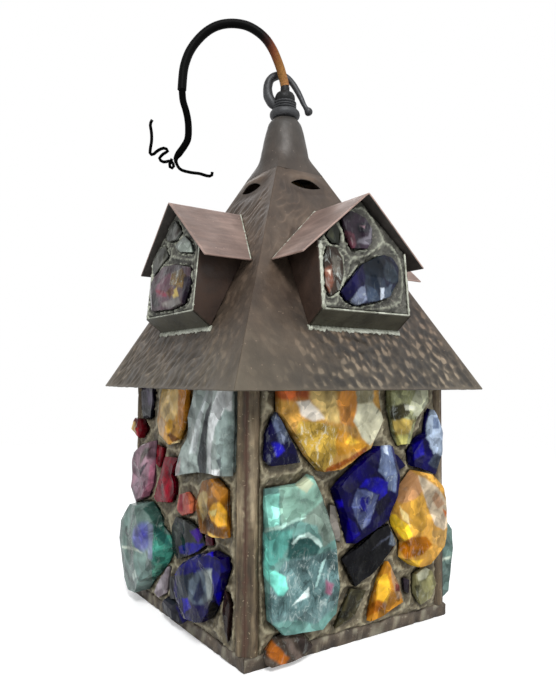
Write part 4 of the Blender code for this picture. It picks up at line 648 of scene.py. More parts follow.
# Glass of the left wall, seen from outside, in the same form
LEFT_GLASS = [
    ("plum_top", (50, 42, 58), 3, (0, 0), 0.2,
     [18,178, 18,139, 33,139, 36,150, 37,178], [
        ((92, 84, 104), 0.3, 1.5, [21,160, 33,158, 35,150, 25,148]),
        ((20, 24, 34), 0, 1, [12,148, 34,145, 34,136, 12,136])]),
    ("red_knob", (96, 14, 24), 9, (-1, 0), 0.1,
     [13,128, 20,125, 24,130, 21,136, 14,136], [
        ((206, 168, 96), 0.3, 1, [-14,126, -9,134, -1,134, 0,124]),
        ((160, 10, 22), 0, 0.8, [-1,129, 6,130, 6,123, 0,124])]),
    ("amber_top", (206, 150, 60), 6, (0, 0), 0.3,
     [60,178, 59,150, 54,138, 57,130, 74,124, 83,126, 91,135, 97,150, 99,178], [
        ((236, 200, 128), 0.3, 1.2, [48,178, 80,178, 80,148, 72,140, 58,138, 48,142]),
        ((212, 176, 130), 0.2, 1, [38,132, 50,141, 57,136, 54,126, 42,127]),
        ((250, 186, 56), 0.2, 1, [57,134, 64,140, 71,138, 68,131, 60,130]),
        ((210, 136, 36), 0.7, 1, [79,178, 100,178, 96,148, 88,133, 80,136, 78,148]),
        ((116, 70, 18), 0.2, 0.8, [61,128, 66,130, 82,127, 82,125, 70,124]),
        ((240, 216, 160), 0, 0.6, [68,123, 84,127, 85,124, 70,121])]),
    ("clear", (154, 166, 160), 9, (-1, 0), 0.15,
     [121,178, 118,156, 108,130, 99,117, 89,104, 120,111, 156,113, 157,141, 156,178], [
        ((196, 204, 202), 0.1, 1, [96,118, 104,136, 118,158, 128,170, 114,140, 107,120]),
        ((194, 176, 174), 0.1, 1, [66,98, 84,114, 82,104, 74,99]),
        ((56, 60, 62), 0.2, 1, [109,116, 113,128, 120,147, 129,156, 124,142, 122,128, 122,106, 113,107]),
        ((228, 232, 230), 0.2, 1, [124,142, 130,153, 142,170, 156,178, 154,150, 141,146, 132,136, 128,122,
         128,110, 123,112]),
        ((158, 176, 170), 0.5, 1.2, [133,138, 146,151, 158,148, 160,122, 150,111, 140,111, 136,120]),
        ((84, 94, 94), 0.4, 0.8, [135,118, 142,121, 141,113]),
        ((240, 242, 240), 0.1, 0.6, [125,111, 140,113, 140,106, 125,106])]),
    ("pink", (150, 118, 130), 10, (-1, -2), 0.15,
     [18,112, 14,103, 13,90, 14,75, 31,82, 38,92, 41,112, 43,121, 30,118], [
        ((176, 110, 132), 0.1, 1.5, [30,102, 46,114, 46,98, 34,82, 20,72, 12,74, 26,88]),
        ((66, 50, 60), 0.3, 0.8, [9,96, 16,101, 27,105, 18,98, 10,91]),
        ((88, 72, 70), 0.3, 1, [11,108, 20,115, 34,117, 22,110, 14,103, 10,101]),
        ((92, 40, 66), 0.2, 0.8, [17,88, 22,91, 21,84, 16,83]),
        ((126, 106, 116), 0.2, 1.5, [-14,74, 6,92, 8,96, 10,84, 2,70, -14,64])]),
    ("red_sliver", (132, 22, 36), 3, (0, 0), 0,
     [49,119, 48,106, 51,105, 55,112, 56,118], []),
    ("ruby", (122, 6, 28), 5, (0, 0), 0.05,
     [66,112, 60,99, 47,82, 51,80, 72,83, 77,89, 77,96, 72,101, 82,113], [
        ((84, 2, 20), 0, 1, [62,100, 70,114, 86,115, 78,104, 80,90, 72,82, 66,84, 70,96]),
        ((168, 26, 46), 0, 0.8, [46,92, 56,98, 60,96, 50,90])]),
    ("coral", (180, 92, 80), 5, (0, 0), 0.2,
     [90,89, 89,80, 94,78, 104,81, 105,88, 100,92], [
        ((150, 46, 56), 0.1, 0.8, [80,77, 84,91, 88,88, 88,78]),
        ((206, 112, 76), 0.1, 0.8, [96,93, 107,91, 106,81, 98,82])]),
    ("amber_side", (138, 88, 22), 8, (0, 0), 0.3,
     [121,93, 117,81, 124,74, 140,74, 153,76, 150,88, 150,101, 140,106, 129,103], [
        ((192, 164, 104), 0.4, 0.8, [110,92, 118,97, 124,97, 124,84, 120,76, 114,80]),
        ((158, 106, 42), 0.4, 1, [123,97, 134,105, 143,108, 152,102, 140,94, 128,88]),
        ((244, 180, 52), 0.2, 0.8, [125,84, 132,91, 140,93, 149,89, 149,80, 138,78, 129,80]),
        ((255, 232, 146), 0, 0.6, [127,85, 136,88, 135,84, 130,83]),
        ((98, 62, 14), 0.3, 0.8, [117,76, 130,71, 152,74, 151,78, 134,77, 121,80]),
        ((236, 190, 92), 0, 0.5, [124,72, 142,71, 151,73, 142,69, 126,69])]),
    ("teal", (114, 138, 130), 17, (-9, -4), 0.25,
     [24,73, 14,62, 13,42, 13,17, 18,11.5, 34,14, 43,23, 57,32, 69,42, 75,52, 69,57, 57,61, 53,68, 40,75], [
        ((54, 92, 82), 0.2, 1, [18,68, 42,80, 54,76, 58,66, 52,62, 40,60, 30,65]),
        ((66, 144, 126), 0.6, 1.2, [36,60, 44,60, 57,66, 58,58, 74,58, 78,48, 68,38, 58,28, 48,20, 38,16,
         37,34, 40,52]),
        ((38, 106, 98), 0.2, 1, [36,60, 57,59, 72,51, 60,50, 44,53]),
        ((118, 206, 176), 0.3, 1, [38,24, 52,29, 56,35, 44,32]),
        ((108, 114, 176), 0.05, 3, [2,50, 16,57, 28,59, 34,50, 36,44, 22,37, 6,35, -2,42]),
        ((88, 88, 188), 0, 3, [10,47, 20,53, 28,50, 18,42]),
        ((146, 156, 182), 0.05, 1.5, [28,60, 38,59, 39,34, 30,33, 32,46]),
        ((200, 212, 196), 0.1, 0.8, [-24,31, 4,35.5, 20,35, 4,33, -24,29]),
        ((104, 126, 120), 0.2, 2, [-30,26, 10,28, 34,29, 38,14, 20,4, -10,2, -30,6]),
        ((178, 196, 186), 0.3, 1, [-1,14, 6,19, 9,14, 1,9])]),
    ("blue_upper", (34, 38, 36), 4, (0, 0), 0.05,
     [78,66, 77,52, 86,47, 100,52, 113,57.5, 123,63.5, 117,70, 100,73, 84,73], [
        ((14, 4, 130), 0, 0.8, [82,53, 94,58, 108,61, 120,63, 112,56, 98,51, 84,49]),
        ((46, 0, 116), 0, 1, [99,67, 112,72, 118,68, 112,62]),
        ((44, 52, 44), 0.2, 1, [72,66, 90,72, 92,66, 78,58])]),
    ("cobalt", (8, 0, 64), 11, (-1, -2), 0.05,
     [97,38, 95,25, 101,16, 120,19, 133,23, 139,30, 145,39, 149,48, 153,56, 152,61, 141,62, 124,57,
     108,49], [
        ((8, 0, 58), 0, 0.8, [110,56, 140,68, 158,62, 150,54, 132,54, 120,58]),
        ((32, 16, 200), 0, 0.6, [123,57, 132,62, 133,58]),
        ((6, 2, 96), 0, 1, [72,38, 88,47, 104,51, 120,57, 140,57, 150,54, 140,50, 120,44, 100,38, 84,34,
         74,33]),
        ((30, 26, 132), 0.1, 0.8, [70,37, 80,42, 82,34, 74,32]),
        ((26, 36, 50), 0.1, 1, [80,33, 96,38, 106,42, 104,30, 96,22, 82,18]),
        ((98, 112, 126), 0.1, 1.5, [99,34, 112,44, 128,50, 133,44, 131,34, 122,26, 108,22, 98,22]),
        ((30, 38, 70), 0.1, 1.5, [110,34, 116,41, 121,32, 112,23, 105,24]),
        ((170, 180, 176), 0.1, 1.2, [121,46, 131,50, 132,32, 126,29]),
        ((18, 14, 116), 0.1, 0.8, [132,47, 141,52, 143,42, 138,31, 132,36]),
        ((16, 6, 190), 0, 0.8, [135,36, 143,39, 141,29]),
        ((10, 10, 20), 0, 0.8, [127,30, 138,31, 138,20, 127,18]),
        ((22, 18, 74), 0.1, 1, [82,12, 98,12, 120,21, 128,21, 114,12, 96,4]),
        ((22, 8, 186), 0, 0.8, [89,20, 98,23, 103,18, 93,12])]),
    ("red_chip", (92, 6, 38), 2, (0, 0), 0,
     [125.5,69, 126,64.5, 133,66, 132,69], []),
    ("black_grey", (152, 142, 148), 4, (0, 0), 0.1,
     [66,30, 61,27, 54,20, 49,13.5, 55,12.5, 65,18, 67,28, 69,35], [
        ((112, 100, 108), 0.1, 1, [40,10, 56,18, 60,10])]),
    ("black_low", (16, 16, 20), 3, (0, 0), 0,
     [74,30, 75,17, 84,19, 80,32], [
        ((120, 128, 132), 0, 0.5, [78.5,32, 80,32, 83,20, 81.5,18])]),
    ("navy_low", (34, 35, 44), 6, (-3, -5), 0,
     [66,10.5, 98,10.5, 94,13.5, 84,15.5, 70,15.5], [
        ((22, 18, 90), 0, 1, [78,12, 96,14, 104,10, 90,4])]),
    ("umber_sliver", (46, 32, 30), 2, (0, 0), 0,
     [150,41, 148,27, 152,13, 155,35], []),
]

# Glass of the two kinds of dormer, in the same form
DORMER_GLASS = {
    "front": [
        ("plum", (42, 30, 42), 4, (0, 0), 0.1,
         [-18,62, -15,50, -11,43, 0,44, 4,48, 5,57, 0,63, -10,66], [
            ((94, 50, 62), 0.3, 1, [-17,53, -8,52, -6,45, -10,40, -15,47]),
            ((104, 100, 108), 0.2, 0.8, [-6,46, 6,46, 9,57, 7,60, 5,52, -4,49]),
            ((30, 26, 36), 0.2, 1, [-5,59, 8,62, 6,55, -4,53]),
            ((160, 130, 140), 0, 0.5, [-2,58, 3,59, 2,57])]),
        ("lens", (28, 32, 22), 1, (0, 0), 0.1,
         [-31,48, -27,44.5, -21,45, -20,51, -23,55, -27,54], [
            ((66, 68, 50), 0, 0.8, [-31,49, -26,53, -25,46])]),
        ("brown", (60, 48, 40), 2, (0, 0), 0.9,
         [-34,32, -34,16, -31,10, -25,14, -20,25, -21,34, -25,40, -31,40], [
            ((116, 72, 56), 0.6, 1, [-35,25, -29,29, -27,18, -32,10, -35,12]),
            ((124, 118, 108), 2, 1, [-28,37, -21,34, -21,20, -27,24]),
            ((214, 196, 180), 0, 0.6, [-32,25, -29,26, -30,22])]),
        ("navy", (16, 20, 44), 5, (1, 1), 0.05,
         [-22,12, -19,8, -12,5, 4,8, 16,12, 24,22, 25,31, 20,37, 12,38, 3,34, -5,30], [
            ((16, 13, 58), 0, 0.8, [-24,11, -12,24, -2,32, 0,18, -8,14, -18,6]),
            ((20, 30, 42), 0, 0.8, [-1,34, 14,41, 18,39, 16,24, 8,22, 0,24]),
            ((54, 66, 78), 0.1, 0.8, [16,28, 19,37, 25,35, 31,25, 24,21, 18,24]),
            ((38, 48, 64), 0.1, 0.8, [-1,25, 16,24, 18,18, 10,16, -1,18]),
            ((106, 114, 136), 0.8, 0.6, [-15,6, -6,16, -1,18, 0,8, -8,4]),
            ((44, 56, 74), 0.2, 0.6, [0,18, 10,16, 12,9, 0,7]),
            ((196, 206, 218), 0.1, 0.5, [12,17, 16,18, 15,11, 12,9]),
            ((76, 88, 104), 0.4, 0.6, [16,17, 23,21, 21,11, 15,9]),
            ((42, 62, 66), 0.1, 0.8, [22,15, 31,24, 30,16, 24,8])]),
    ],
    "left": [
        ("grey_top", (92, 92, 86), 3, (0, 0), 0.3,
         [-15,61, -8,55, 5,54, 9,58, 1,66, -6,66], [
            ((44, 38, 32), 0, 1.5, [-4,58, 4,63, 8,60, 0,56])]),
        ("clear_right", (128, 134, 126), 2, (0, 0), 0.1,
         [3,49, 12,44, 29,41, 26,47, 16,53], [
            ((164, 174, 162), 0.1, 1, [4,49, 24,48, 30,40, 10,42])]),
        ("grey_left", (98, 98, 90), 2, (0, 0), 0.3,
         [-33,45, -33,33, -25,36, -11,44, -15,51, -25,51], [
            ((64, 64, 54), 0.2, 1.5, [-28,40, -14,44, -16,48, -26,46])]),
        ("pink", (82, 66, 72), 5, (-1, 0), 0.3,
         [-29,21, -31,12, -24,6, 8,5, 26,7, 31,18, 29,29, 8,34, -12,35, -22,30], [
            ((50, 46, 46), 0.1, 1.2, [-34,18, -28,8, -16,8, -22,14, -26,20]),
            ((110, 76, 88), 0.1, 1.2, [-28,22, -14,30, -2,30, 0,22, -6,14, -24,15]),
            ((122, 54, 68), 0, 0.8, [-27,21, -12,19, -5,14, -14,15, -26,19]),
            ((116, 88, 32), 1.2, 0.8, [-1,30, 14,31, 23,24, 18,17, 6,20, -3,22]),
            ((206, 178, 98), 0.5, 0.8, [2,16, 10,19, 14,12, 8,8]),
            ((92, 52, 22), 0.2, 0.8, [-8,17, 2,21, 7,15, 0,12]),
            ((46, 38, 50), 0.1, 1, [19,25, 33,23, 32,6, 22,2, 19,14]),
            ((116, 110, 106), 0.2, 1, [-14,10, 12,12, 20,7, 10,5, -12,7])]),
    ],
}

# Camera as each wall and dormer front has it: across, up and out of its face, in millimetres
SEEN_FROM = {
    "front": (-192.1, 169.4, 317.5), "left": (487.5, 169.4, 192.1),
    "dormer_front": (-277.1, -42.8, 305.9), "dormer_left": (402.5, -42.8, 180.5),
}


def pairs(flat):
    """Points of an outline from its numbers in a row."""
    return list(zip(flat[::2], flat[1::2]))


def area_of(outline):
    """Twice the area of an outline, less than zero when it runs clockwise."""
    return sum(p[0] * q[1] - q[0] * p[1] for p, q in zip(outline, outline[1:] + outline[:1]))


def grown(outline, distance):
    """Outline moved outwards by a distance."""
    outward = -1.0 if area_of(outline) > 0 else 1.0
    moved = []
    for i, here in enumerate(outline):
        before = Vector(here) - Vector(outline[i - 1])
        after = Vector(outline[(i + 1) % len(outline)]) - Vector(here)
        n1, n2 = (Vector((-way.y, way.x)).normalized() * outward for way in (before, after))
        bisector = (n1 + n2).normalized()
        moved.append(tuple(Vector(here) + bisector * (distance / max(bisector.dot(n1), 0.6))))
    return moved


def breaking_planes(rim, way, centre, reach, height, rng):
    """Planes that break a block: one over each outer side of its rim, then six round its crown."""
    planes = []
    for p, q in zip(rim, rim[1:] + rim[:1]):
        outward = Vector((q.y - p.y, p.x - q.x, 0.0)).normalized() * way
        if max((r - p).dot(outward) for r in rim) > 1.2:
            continue
        tilt = math.radians(rng.uniform(14, 40))
        rise = height * rng.uniform(0.55, 0.85)
        planes.append(((p + q) / 2 + Vector((0, 0, rise)),
                       outward * math.cos(tilt) + Vector((0, 0, math.sin(tilt)))))
    gentle = math.atan(0.40 * height / reach)
    for k in range(6):
        turn = 2 * math.pi * (k + rng.uniform(-0.35, 0.35)) / 3
        tilt = gentle * rng.uniform(0.4, 1.0) if k < 3 else gentle + math.radians(rng.uniform(6, 16))
        aside = Vector((math.cos(turn), math.sin(turn), 0.0))
        through = centre + Vector((0.0, 0.0, height * rng.uniform(0.86, 0.99)))
        if k >= 3:
            through += aside * reach * rng.uniform(0.45, 0.65)
        planes.append((through, aside * math.sin(tilt) + Vector((0, 0, math.cos(tilt)))))
    return planes


def cut_off(bm, point, normal):
    """Cut away what lies beyond a plane and close the hole."""
    cut = bmesh.ops.bisect_plane(bm, geom=bm.verts[:] + bm.edges[:] + bm.faces[:], plane_co=point,
                                 plane_no=normal, clear_outer=True, dist=1e-4)
    rim = [e for e in cut["geom_cut"] if isinstance(e, bmesh.types.BMEdge)]
    if rim:
        bmesh.ops.holes_fill(bm, edges=rim, sides=0)


def refine(bm, longest):
    """Split the edges in front of the leading until none is too long. Broken edges stay sharp."""
    bmesh.ops.recalc_face_normals(bm, faces=bm.faces[:])
    for edge in bm.edges:
        edge.smooth = len(edge.link_faces) == 2 and edge.calc_face_angle(0.0) < math.radians(14)
    bmesh.ops.triangulate(bm, faces=bm.faces[:])
    for _ in range(8):
        long = [e for e in bm.edges if e.calc_length() > longest and max(v.co.z for v in e.verts) > -1.0]
        if not long:
            break
        bmesh.ops.subdivide_edges(bm, edges=long, cuts=1, use_grid_fill=False)
        bmesh.ops.triangulate(bm, faces=[f for f in bm.faces if len(f.verts) > 3])
    for face in bm.faces:
        face.smooth = True
    bm.normal_update()


def rough_facets(bm, centre, reach, height, seed, rng):
    """Waves over the facets of a chunk, and three shallow scoops in its crown."""
    scoops = [(centre + Vector((rng.uniform(-0.5, 0.5) * reach, rng.uniform(-0.5, 0.5) * reach, 0.0)),
               rng.uniform(0.22, 0.42) * reach) for _ in range(3)]
    for vert in bm.verts:
        if vert.co.z <= -0.5:
            continue
        spot = vert.co * 0.10 + Vector((seed, 0, 0))
        wave = noise.noise(spot) * 0.45 + noise.noise(spot * 3.3) * 0.16
        move = vert.normal * wave * min(1.0, height / 6)
        for middle, radius in scoops:
            far = (Vector((vert.co.x, vert.co.y, 0.0)) - middle).length / radius
            if far < 1.0 and vert.co.z > 0.5 * height:
                move.z -= 0.16 * radius * (1.0 - far * far) * min(1.0, height / 8)
        vert.co += move


def knapped(outline, height, lean, seed, back):
    """Chunk over an outline: it swells over the leading and is broken into big facets."""
    rng = random.Random(seed)
    wide = grown(outline, min(2.4, 0.5 + 0.15 * height))
    bm = bmesh.new()
    skin(bm, [[bm.verts.new((u, v, z)) for u, v in ring]
              for ring, z in ((outline, -back), (outline, -0.8), (wide, 0.9), (wide, height))])
    bmesh.ops.recalc_face_normals(bm, faces=bm.faces[:])
    count = len(outline)
    centre = Vector((sum(p[0] for p in outline) / count, sum(p[1] for p in outline) / count, 0.0))
    rim = [Vector((*point, 0.0)) for point in wide]
    reach = max((point - centre).length for point in rim)
    way = 1 if area_of(outline) > 0 else -1
    for point, normal in breaking_planes(rim, way, centre, reach, height, rng):
        cut_off(bm, point, normal)
    for vert in bm.verts:
        vert.co += Vector((*lean, 0.0)) * unit(vert.co.z / height)
    refine(bm, 1.15)
    rough_facets(bm, centre, reach, height, seed, rng)
    return bm


def distance_field(points, outline):
    """Least distance of each point to an outline, less than zero inside it."""
    best = np.full(len(points), 1e9)
    crossings = np.zeros(len(points), int)
    loop = np.array(outline, float)
    for p, q in zip(loop, np.roll(loop, -1, axis=0)):
        edge = q - p
        share = np.clip(((points - p) @ edge) / (edge @ edge), 0, 1)
        best = np.minimum(best, np.linalg.norm(points - p - share[:, None] * edge, axis=1))
        spans = (p[1] > points[:, 1]) != (q[1] > points[:, 1])
        at = p[0] + (points[:, 1] - p[1]) * edge[0] / (edge[1] if edge[1] else 1e-9)
        crossings += spans & (points[:, 0] < at)
    return np.where(crossings % 2 == 1, -best, best)


def paint(bm, base, facets, flaked, seen, height):
    """Tint of each point of a chunk: its colour with the facets' tones and painted highlights, darker towards
    its foot as painted shade, and in alpha how flaked it is.

    The facets are noted as the camera sees them: each point looks up where its line of sight meets the wall.
    """
    layer = bm.verts.layers.float_color.new("Tint")
    at = np.array([vert.co for vert in bm.verts])
    wobble = np.array([noise.noise(vert.co * 0.22 + Vector((7, 3, 1))) for vert in bm.verts])
    finer = np.array([noise.noise(vert.co * 0.70 + Vector((1, 9, 4))) for vert in bm.verts])
    nearer = np.clip(at[:, 2], 0.0, height) / seen[2]
    u = at[:, 0] - (seen[0] - at[:, 0]) * nearer + 0.8 * wobble + 0.4 * finer
    v = at[:, 1] - (seen[1] - at[:, 1]) * nearer + 0.6 * wobble - 0.4 * finer
    colour = np.tile(np.array(linear(*base)), (len(at), 1))
    amount = np.full(len(at), float(flaked))
    for tone, flakes, soft, flat in facets:
        share = np.clip(0.5 - distance_field(np.stack([u, v], 1), pairs(flat)) / (2 * soft), 0, 1)
        share = share * share * (3 - 2 * share)
        amount += share * (flakes - amount)
        colour += share[:, None] * (np.array(linear(*tone)) - colour)
    # Painted shade: each chunk darker towards its foot, where it meets the leading.
    colour *= (0.36 + 0.60 * np.clip((at[:, 2] + 0.3) / (0.50 * height), 0, 1))[:, None]
    for vert, tone, flakes in zip(bm.verts, colour, amount):
        vert[layer] = (*tone, 0.5 * flakes)


def glass_meshes(prefix, rows, outlines, position, seed_step, first_seed, back, main):
    """Chunks of a layout: the main ones by name, and all others joined in one mesh."""
    chunks, small = {}, bmesh.new()
    for k, (row, outline) in enumerate(zip(rows, outlines)):
        name, base, height, lean, flaked, _, facets = row
        bm = knapped(outline, height, lean, seed_step * k + first_seed, back)
        paint(bm, base, facets, flaked, SEEN_FROM[prefix], height)
        for vert in bm.verts:
            vert.co = position(*vert.co)
        mesh = mesh_from(bm, f"{prefix}_{name}")
        if name in main:
            chunks[name] = mesh
        else:
            small.from_mesh(mesh)
    return chunks, mesh_from(small, f"{prefix}_small_glass", closed=False)


def lead_sheet(name, border_of, across, up, outlines, position, spacing, edge_band, lip):
    """Uneven leading between glass outlines, as a sheet with holes where the glass is.

    The lip is the raised ridge round the glass, paler by a painted highlight: its rise, its distance, its
    width and how mottled it is.
    """
    lip_rise, lip_at, lip_width, mottled = lip
    us = np.linspace(*across, int((across[1] - across[0]) / spacing) + 1)
    vs = np.linspace(*up, int((up[1] - up[0]) / spacing) + 1)
    grid = np.array([(u, v) for v in vs for u in us])
    border = border_of(grid)
    fields = np.sort([distance_field(grid, outline) for outline in outlines] + [border + 3.0], axis=0)
    far, next_far = fields[0], fields[1]
    crest = np.clip(far / np.maximum(next_far, 0.5), 0, 1) ** 2.5
    bm, wear_and_shade = shaded_worn_mesh()
    verts = []
    for (u, v), d, b, top in zip(grid, far, border, crest):
        spot = Vector((u, v, 0.0))
        lumps = 0.50 * noise.noise(spot * 0.18) + 0.45 * noise.noise(spot * 0.42)
        lumps += 0.35 * noise.noise(spot * 1.1)
        crease = max(0.0, 1.0 - 5.0 * abs(noise.noise(spot * 0.33 + Vector((5, 8, 2)))))
        ridge = (1 - math.exp(-max(d, 0.0) / 1.2)) * (1 - math.exp(-max(b, 0.0) / edge_band))
        raised = lip_rise * math.exp(-((d - lip_at) / lip_width) ** 2) * (0.6 + 1.1 * lumps)
        out = -2.2 + ridge * (1.6 + 1.8 * top + 1.3 * lumps) + 0.3 * lumps + 0.8 * raised
        vert = bm.verts.new(position(u, v, min(1.0, out + 0.35 * crease * ridge)))
        # Painted shade next to the glass and under the frame, painted highlight on the crests between pieces
        # and on the lip, with random lumps and creases.
        vert[wear_and_shade] = unit(ridge * (0.30 + 0.50 * top) + mottled * lumps + 0.45 * raised + 0.22 * crease)
        verts.append(vert)
    wide = len(us)
    for k in range(len(verts) - wide):
        corners = (k, k + 1, k + wide + 1, k + wide)
        at_row_end = (k + 1) % wide == 0
        if at_row_end or max(far[c] for c in corners) < -1.4 or min(border[c] for c in corners) < 0:
            continue
        bm.faces.new([verts[c] for c in corners])
    bmesh.ops.delete(bm, geom=[v for v in bm.verts if not v.link_faces], context="VERTS")
    return mesh_from(bm, name, closed=False)


def thick(piece, thickness):
    """Give a sheet its real thickness, behind its outer face."""
    solid = piece.modifiers.new("thickness", "SOLIDIFY")
    solid.thickness = thickness
    solid.offset = -1.0
    return solid


def add_leading(name, sheet, finish, thickness, node, side):
    """Leading of a wall or dormer front, in its real thickness."""
    lead = add_piece(name, sheet, [finish], replaces=[node], side=side, angle=60)
    thick(lead, thickness)


def add_glass(name, node, chunks, small, side):
    """Glass of a wall or dormer front: its main chunks with nodes of their own, and the small ones."""
    for chunk, mesh in chunks.items():
        own = f"{node}_glass_{chunk}"
        add_piece(f"{name}_glass_{chunk}", mesh, [GLASS], replaces=[own], side=side,
                  angle=0)
    add_piece(f"{name}_small_glass", small, [GLASS], side=side, angle=0)


# Box walls: the field that the layouts are drawn in and how far the leading runs under its frame, in
# millimetres, then each layout with the pieces that are solids of their own in the frame
FIELD_LEFT = 11.3
FIELD_RIGHT = 158.7
FIELD_LOW = 9.3
DRAWN_TOP = 189.6
UNDER_FRAME = 1.9
LEADING_SHEET = 0.003
WALL_LAYOUTS = {
    "front": (FRONT_GLASS, ("amber_top", "aqua", "cobalt", "amber_side")),
    "left": (LEFT_GLASS, ("clear", "pink", "teal", "cobalt")),
}


def fitted(outline):
    """Layout outline to the real field of the leading."""
    stretch = (FIELD_TOP - FIELD_LOW) / (DRAWN_TOP - FIELD_LOW)
    return [(u, FIELD_LOW + (v - FIELD_LOW) * stretch) for u, v in outline]


def wall_border(grid):
    """Distance of points of the leading to the frame round it."""
    return np.minimum.reduce([grid[:, 0] - FIELD_LEFT, FIELD_RIGHT - grid[:, 0],
                              grid[:, 1] - FIELD_LOW, FIELD_TOP - grid[:, 1]]) + UNDER_FRAME


def build_glass_walls():
    """Leading and glass of the four box walls."""
    for kind, (rows, main) in WALL_LAYOUTS.items():
        outlines = [fitted(pairs(row[5])) for row in rows]
        sheet = lead_sheet(f"{kind}_leading", wall_border, (9.3, 160.7), (7.3, FIELD_TOP + UNDER_FRAME),
                           outlines, wall_point, spacing=1.15, edge_band=1.2, lip=(0.3, 2.9, 1.2, 0.50))
        chunks, small = glass_meshes(kind, rows, outlines, wall_point, seed_step=11, first_seed=len(kind),
                                     back=6.5, main=main)
        for side in SIDES_OF[kind]:
            add_leading(f"{side}_wall_leading", sheet, LEADING, LEADING_SHEET, f"wall_{side}_leading", side)
            add_glass(side, f"wall_{side}", chunks, small, side)


# Frame bars round each wall, in millimetres. Depths count out of the wall's face.
BAR_STEP = 2.0
BAR_BACK = -9.8
BAR_FOOT = -1.6
STILE_INSET = 2.4
STILE_WIDTH = 8.6
STILE_BACK_WIDTH = 7.2
STILE_RISE = 2.8
RAIL_HEIGHT = 9.0
TOP_BAR_WIDTH = 8.0
TOP_BAR_RISE = 2.0
TOP_BAR_INSET = 10


def bar(bm, wear_and_shade, start, end, aside, width, rise, seed, foot):
    """Half-round bar from start to end, in the wall's own millimetres, with uneven flanks."""
    steps = max(2, int((end - start).length / BAR_STEP))
    arcs = 9
    rings = []
    for i in range(steps + 1):
        ring = []
        along = start.lerp(end, i / steps)
        for k in range(arcs + 1):
            angle = math.pi * (1 - k / arcs)
            place = along + aside * (k / arcs * width)
            wave = noise_at(place.x * 0.11, place.y * 0.11, seed)
            dent = noise_at(place.x * 0.45, place.y * 0.45, seed + 9)
            height = BAR_FOOT + rise * math.sin(angle) + (0.60 * wave + 0.40 * dent) * math.sin(angle)
            vert = bm.verts.new(wall_point(place.x, place.y, height))
            # Lighter along the crest as painted highlight, darker down the flanks as painted shade, varied by
            # the dents.
            vert[wear_and_shade] = unit(0.12 + 0.75 * math.sin(angle) + 0.35 * dent)
            ring.append(vert)
        for edge, depth in ((width, BAR_BACK), (foot, BAR_BACK), *(((-1.0, BAR_FOOT),) if foot else ())):
            place = along + aside * edge
            vert = bm.verts.new(wall_point(place.x, place.y, depth))
            # Painted shade at the back of the bar.
            vert[wear_and_shade] = 0.1
            ring.append(vert)
        rings.append(ring)
    skin(bm, rings)


def flat_rail(bm, wear_and_shade, right):
    """Flat bottom rail, a little lighter along its rounded edges, mitred at both corners."""
    shoulder = RAIL_HEIGHT - 1.2
    section = [(0.0, BAR_BACK), (0.0, -0.7), (0.7, 0.0), (shoulder, 0.1), (RAIL_HEIGHT, -1.0),
               (RAIL_HEIGHT, BAR_BACK)]
    steps = 84
    rings = []
    for i in range(steps + 1):
        t = i / steps
        ring = []
        for up, out in section:
            reach = 0.25 - out
            across = reach + (right - 2 * reach) * t
            wave = 1.4 * noise_at(across * 0.16, up * 0.4, 31.0) if out > -2 else 0.0
            lift = 2.0 * noise_at(across * 0.10, 3.0, 57.0) if up > RAIL_HEIGHT - 2 else 0.0
            vert = bm.verts.new(wall_point(across, up + min(0.0, lift), out + min(0.0, wave)))
            vert[wear_and_shade] = unit(0.42 + 0.6 * wave + (0.15 if up in (0.7, shoulder) else 0.0))
            ring.append(vert)
        rings.append(ring)
    skin(bm, rings)


def build_frames():
    """Frame of each wall: two stiles, the hidden top bar and the flat bottom rail."""
    bm, wear_and_shade = shaded_worn_mesh()
    top = WALL_TOP / MM
    right = BOX_SIDE / MM
    for x, way in ((STILE_INSET, 1), (right - STILE_INSET, -1)):
        bar(bm, wear_and_shade, Vector((x, RAIL_HEIGHT - 0.5, 0)), Vector((x, top, 0)), Vector((way, 0, 0)),
            STILE_WIDTH, STILE_RISE, seed=x, foot=STILE_BACK_WIDTH)
    bar(bm, wear_and_shade, Vector((TOP_BAR_INSET, top, 0)), Vector((right - TOP_BAR_INSET, top, 0)),
        Vector((0, -1, 0)), TOP_BAR_WIDTH, TOP_BAR_RISE, seed=5, foot=0.0)
    bars = set(bm.faces)
    flat_rail(bm, wear_and_shade, right)
    for face in bm.faces:
        face.material_index = 0 if face in bars else 1
    mesh = mesh_from(bm, "frame_bars")
    for side in SIDES:
        add_piece(f"{side}_frame_bars", mesh, [BARS, RAIL],
                  replaces=[f"wall_{side}_frame"], side=side, angle=50)


# Main roof. Each layout has two kinds of hammer marks: (pitch across, pitch along, tilt, seed).
VENT_HEIGHT = NECK_BASE - 12.5 * MM
VENT_HALF = 13.6
VENT_ASIDE = {"front": 0.5, "left": -5.0}
LIGHT_HOLE_SILL = 228.2 * MM
ROOF_CELLS = 190
ROOF_SEED = {"front": 2.0, "left": 8.0}
ROOF_MARKS = {"front": ((9.6, 8.6, 0.12, 3.0), (13.0, 5.0, 0.85, 7.0)),
              "left": ((9.0, 8.0, 0.50, 5.0), (15.0, 5.2, 0.95, 9.0))}


def roof_half(z):
    """Half width of the main roof at a height."""
    return EAVE_HALF - (z - EAVE_HEIGHT) / ROOF_SLOPE


def scattered(cell, row, seed):
    """A number from 0 to 1 for each cell, always the same one."""
    return np.modf(np.abs(np.sin(cell * 127.1 + row * 311.7 + seed * 74.7) * 43758.5453))[0]


def ramp(value, low, high):
    """0 below low, 1 above high, even between."""
    return np.clip((value - low) / (high - low), 0, 1)


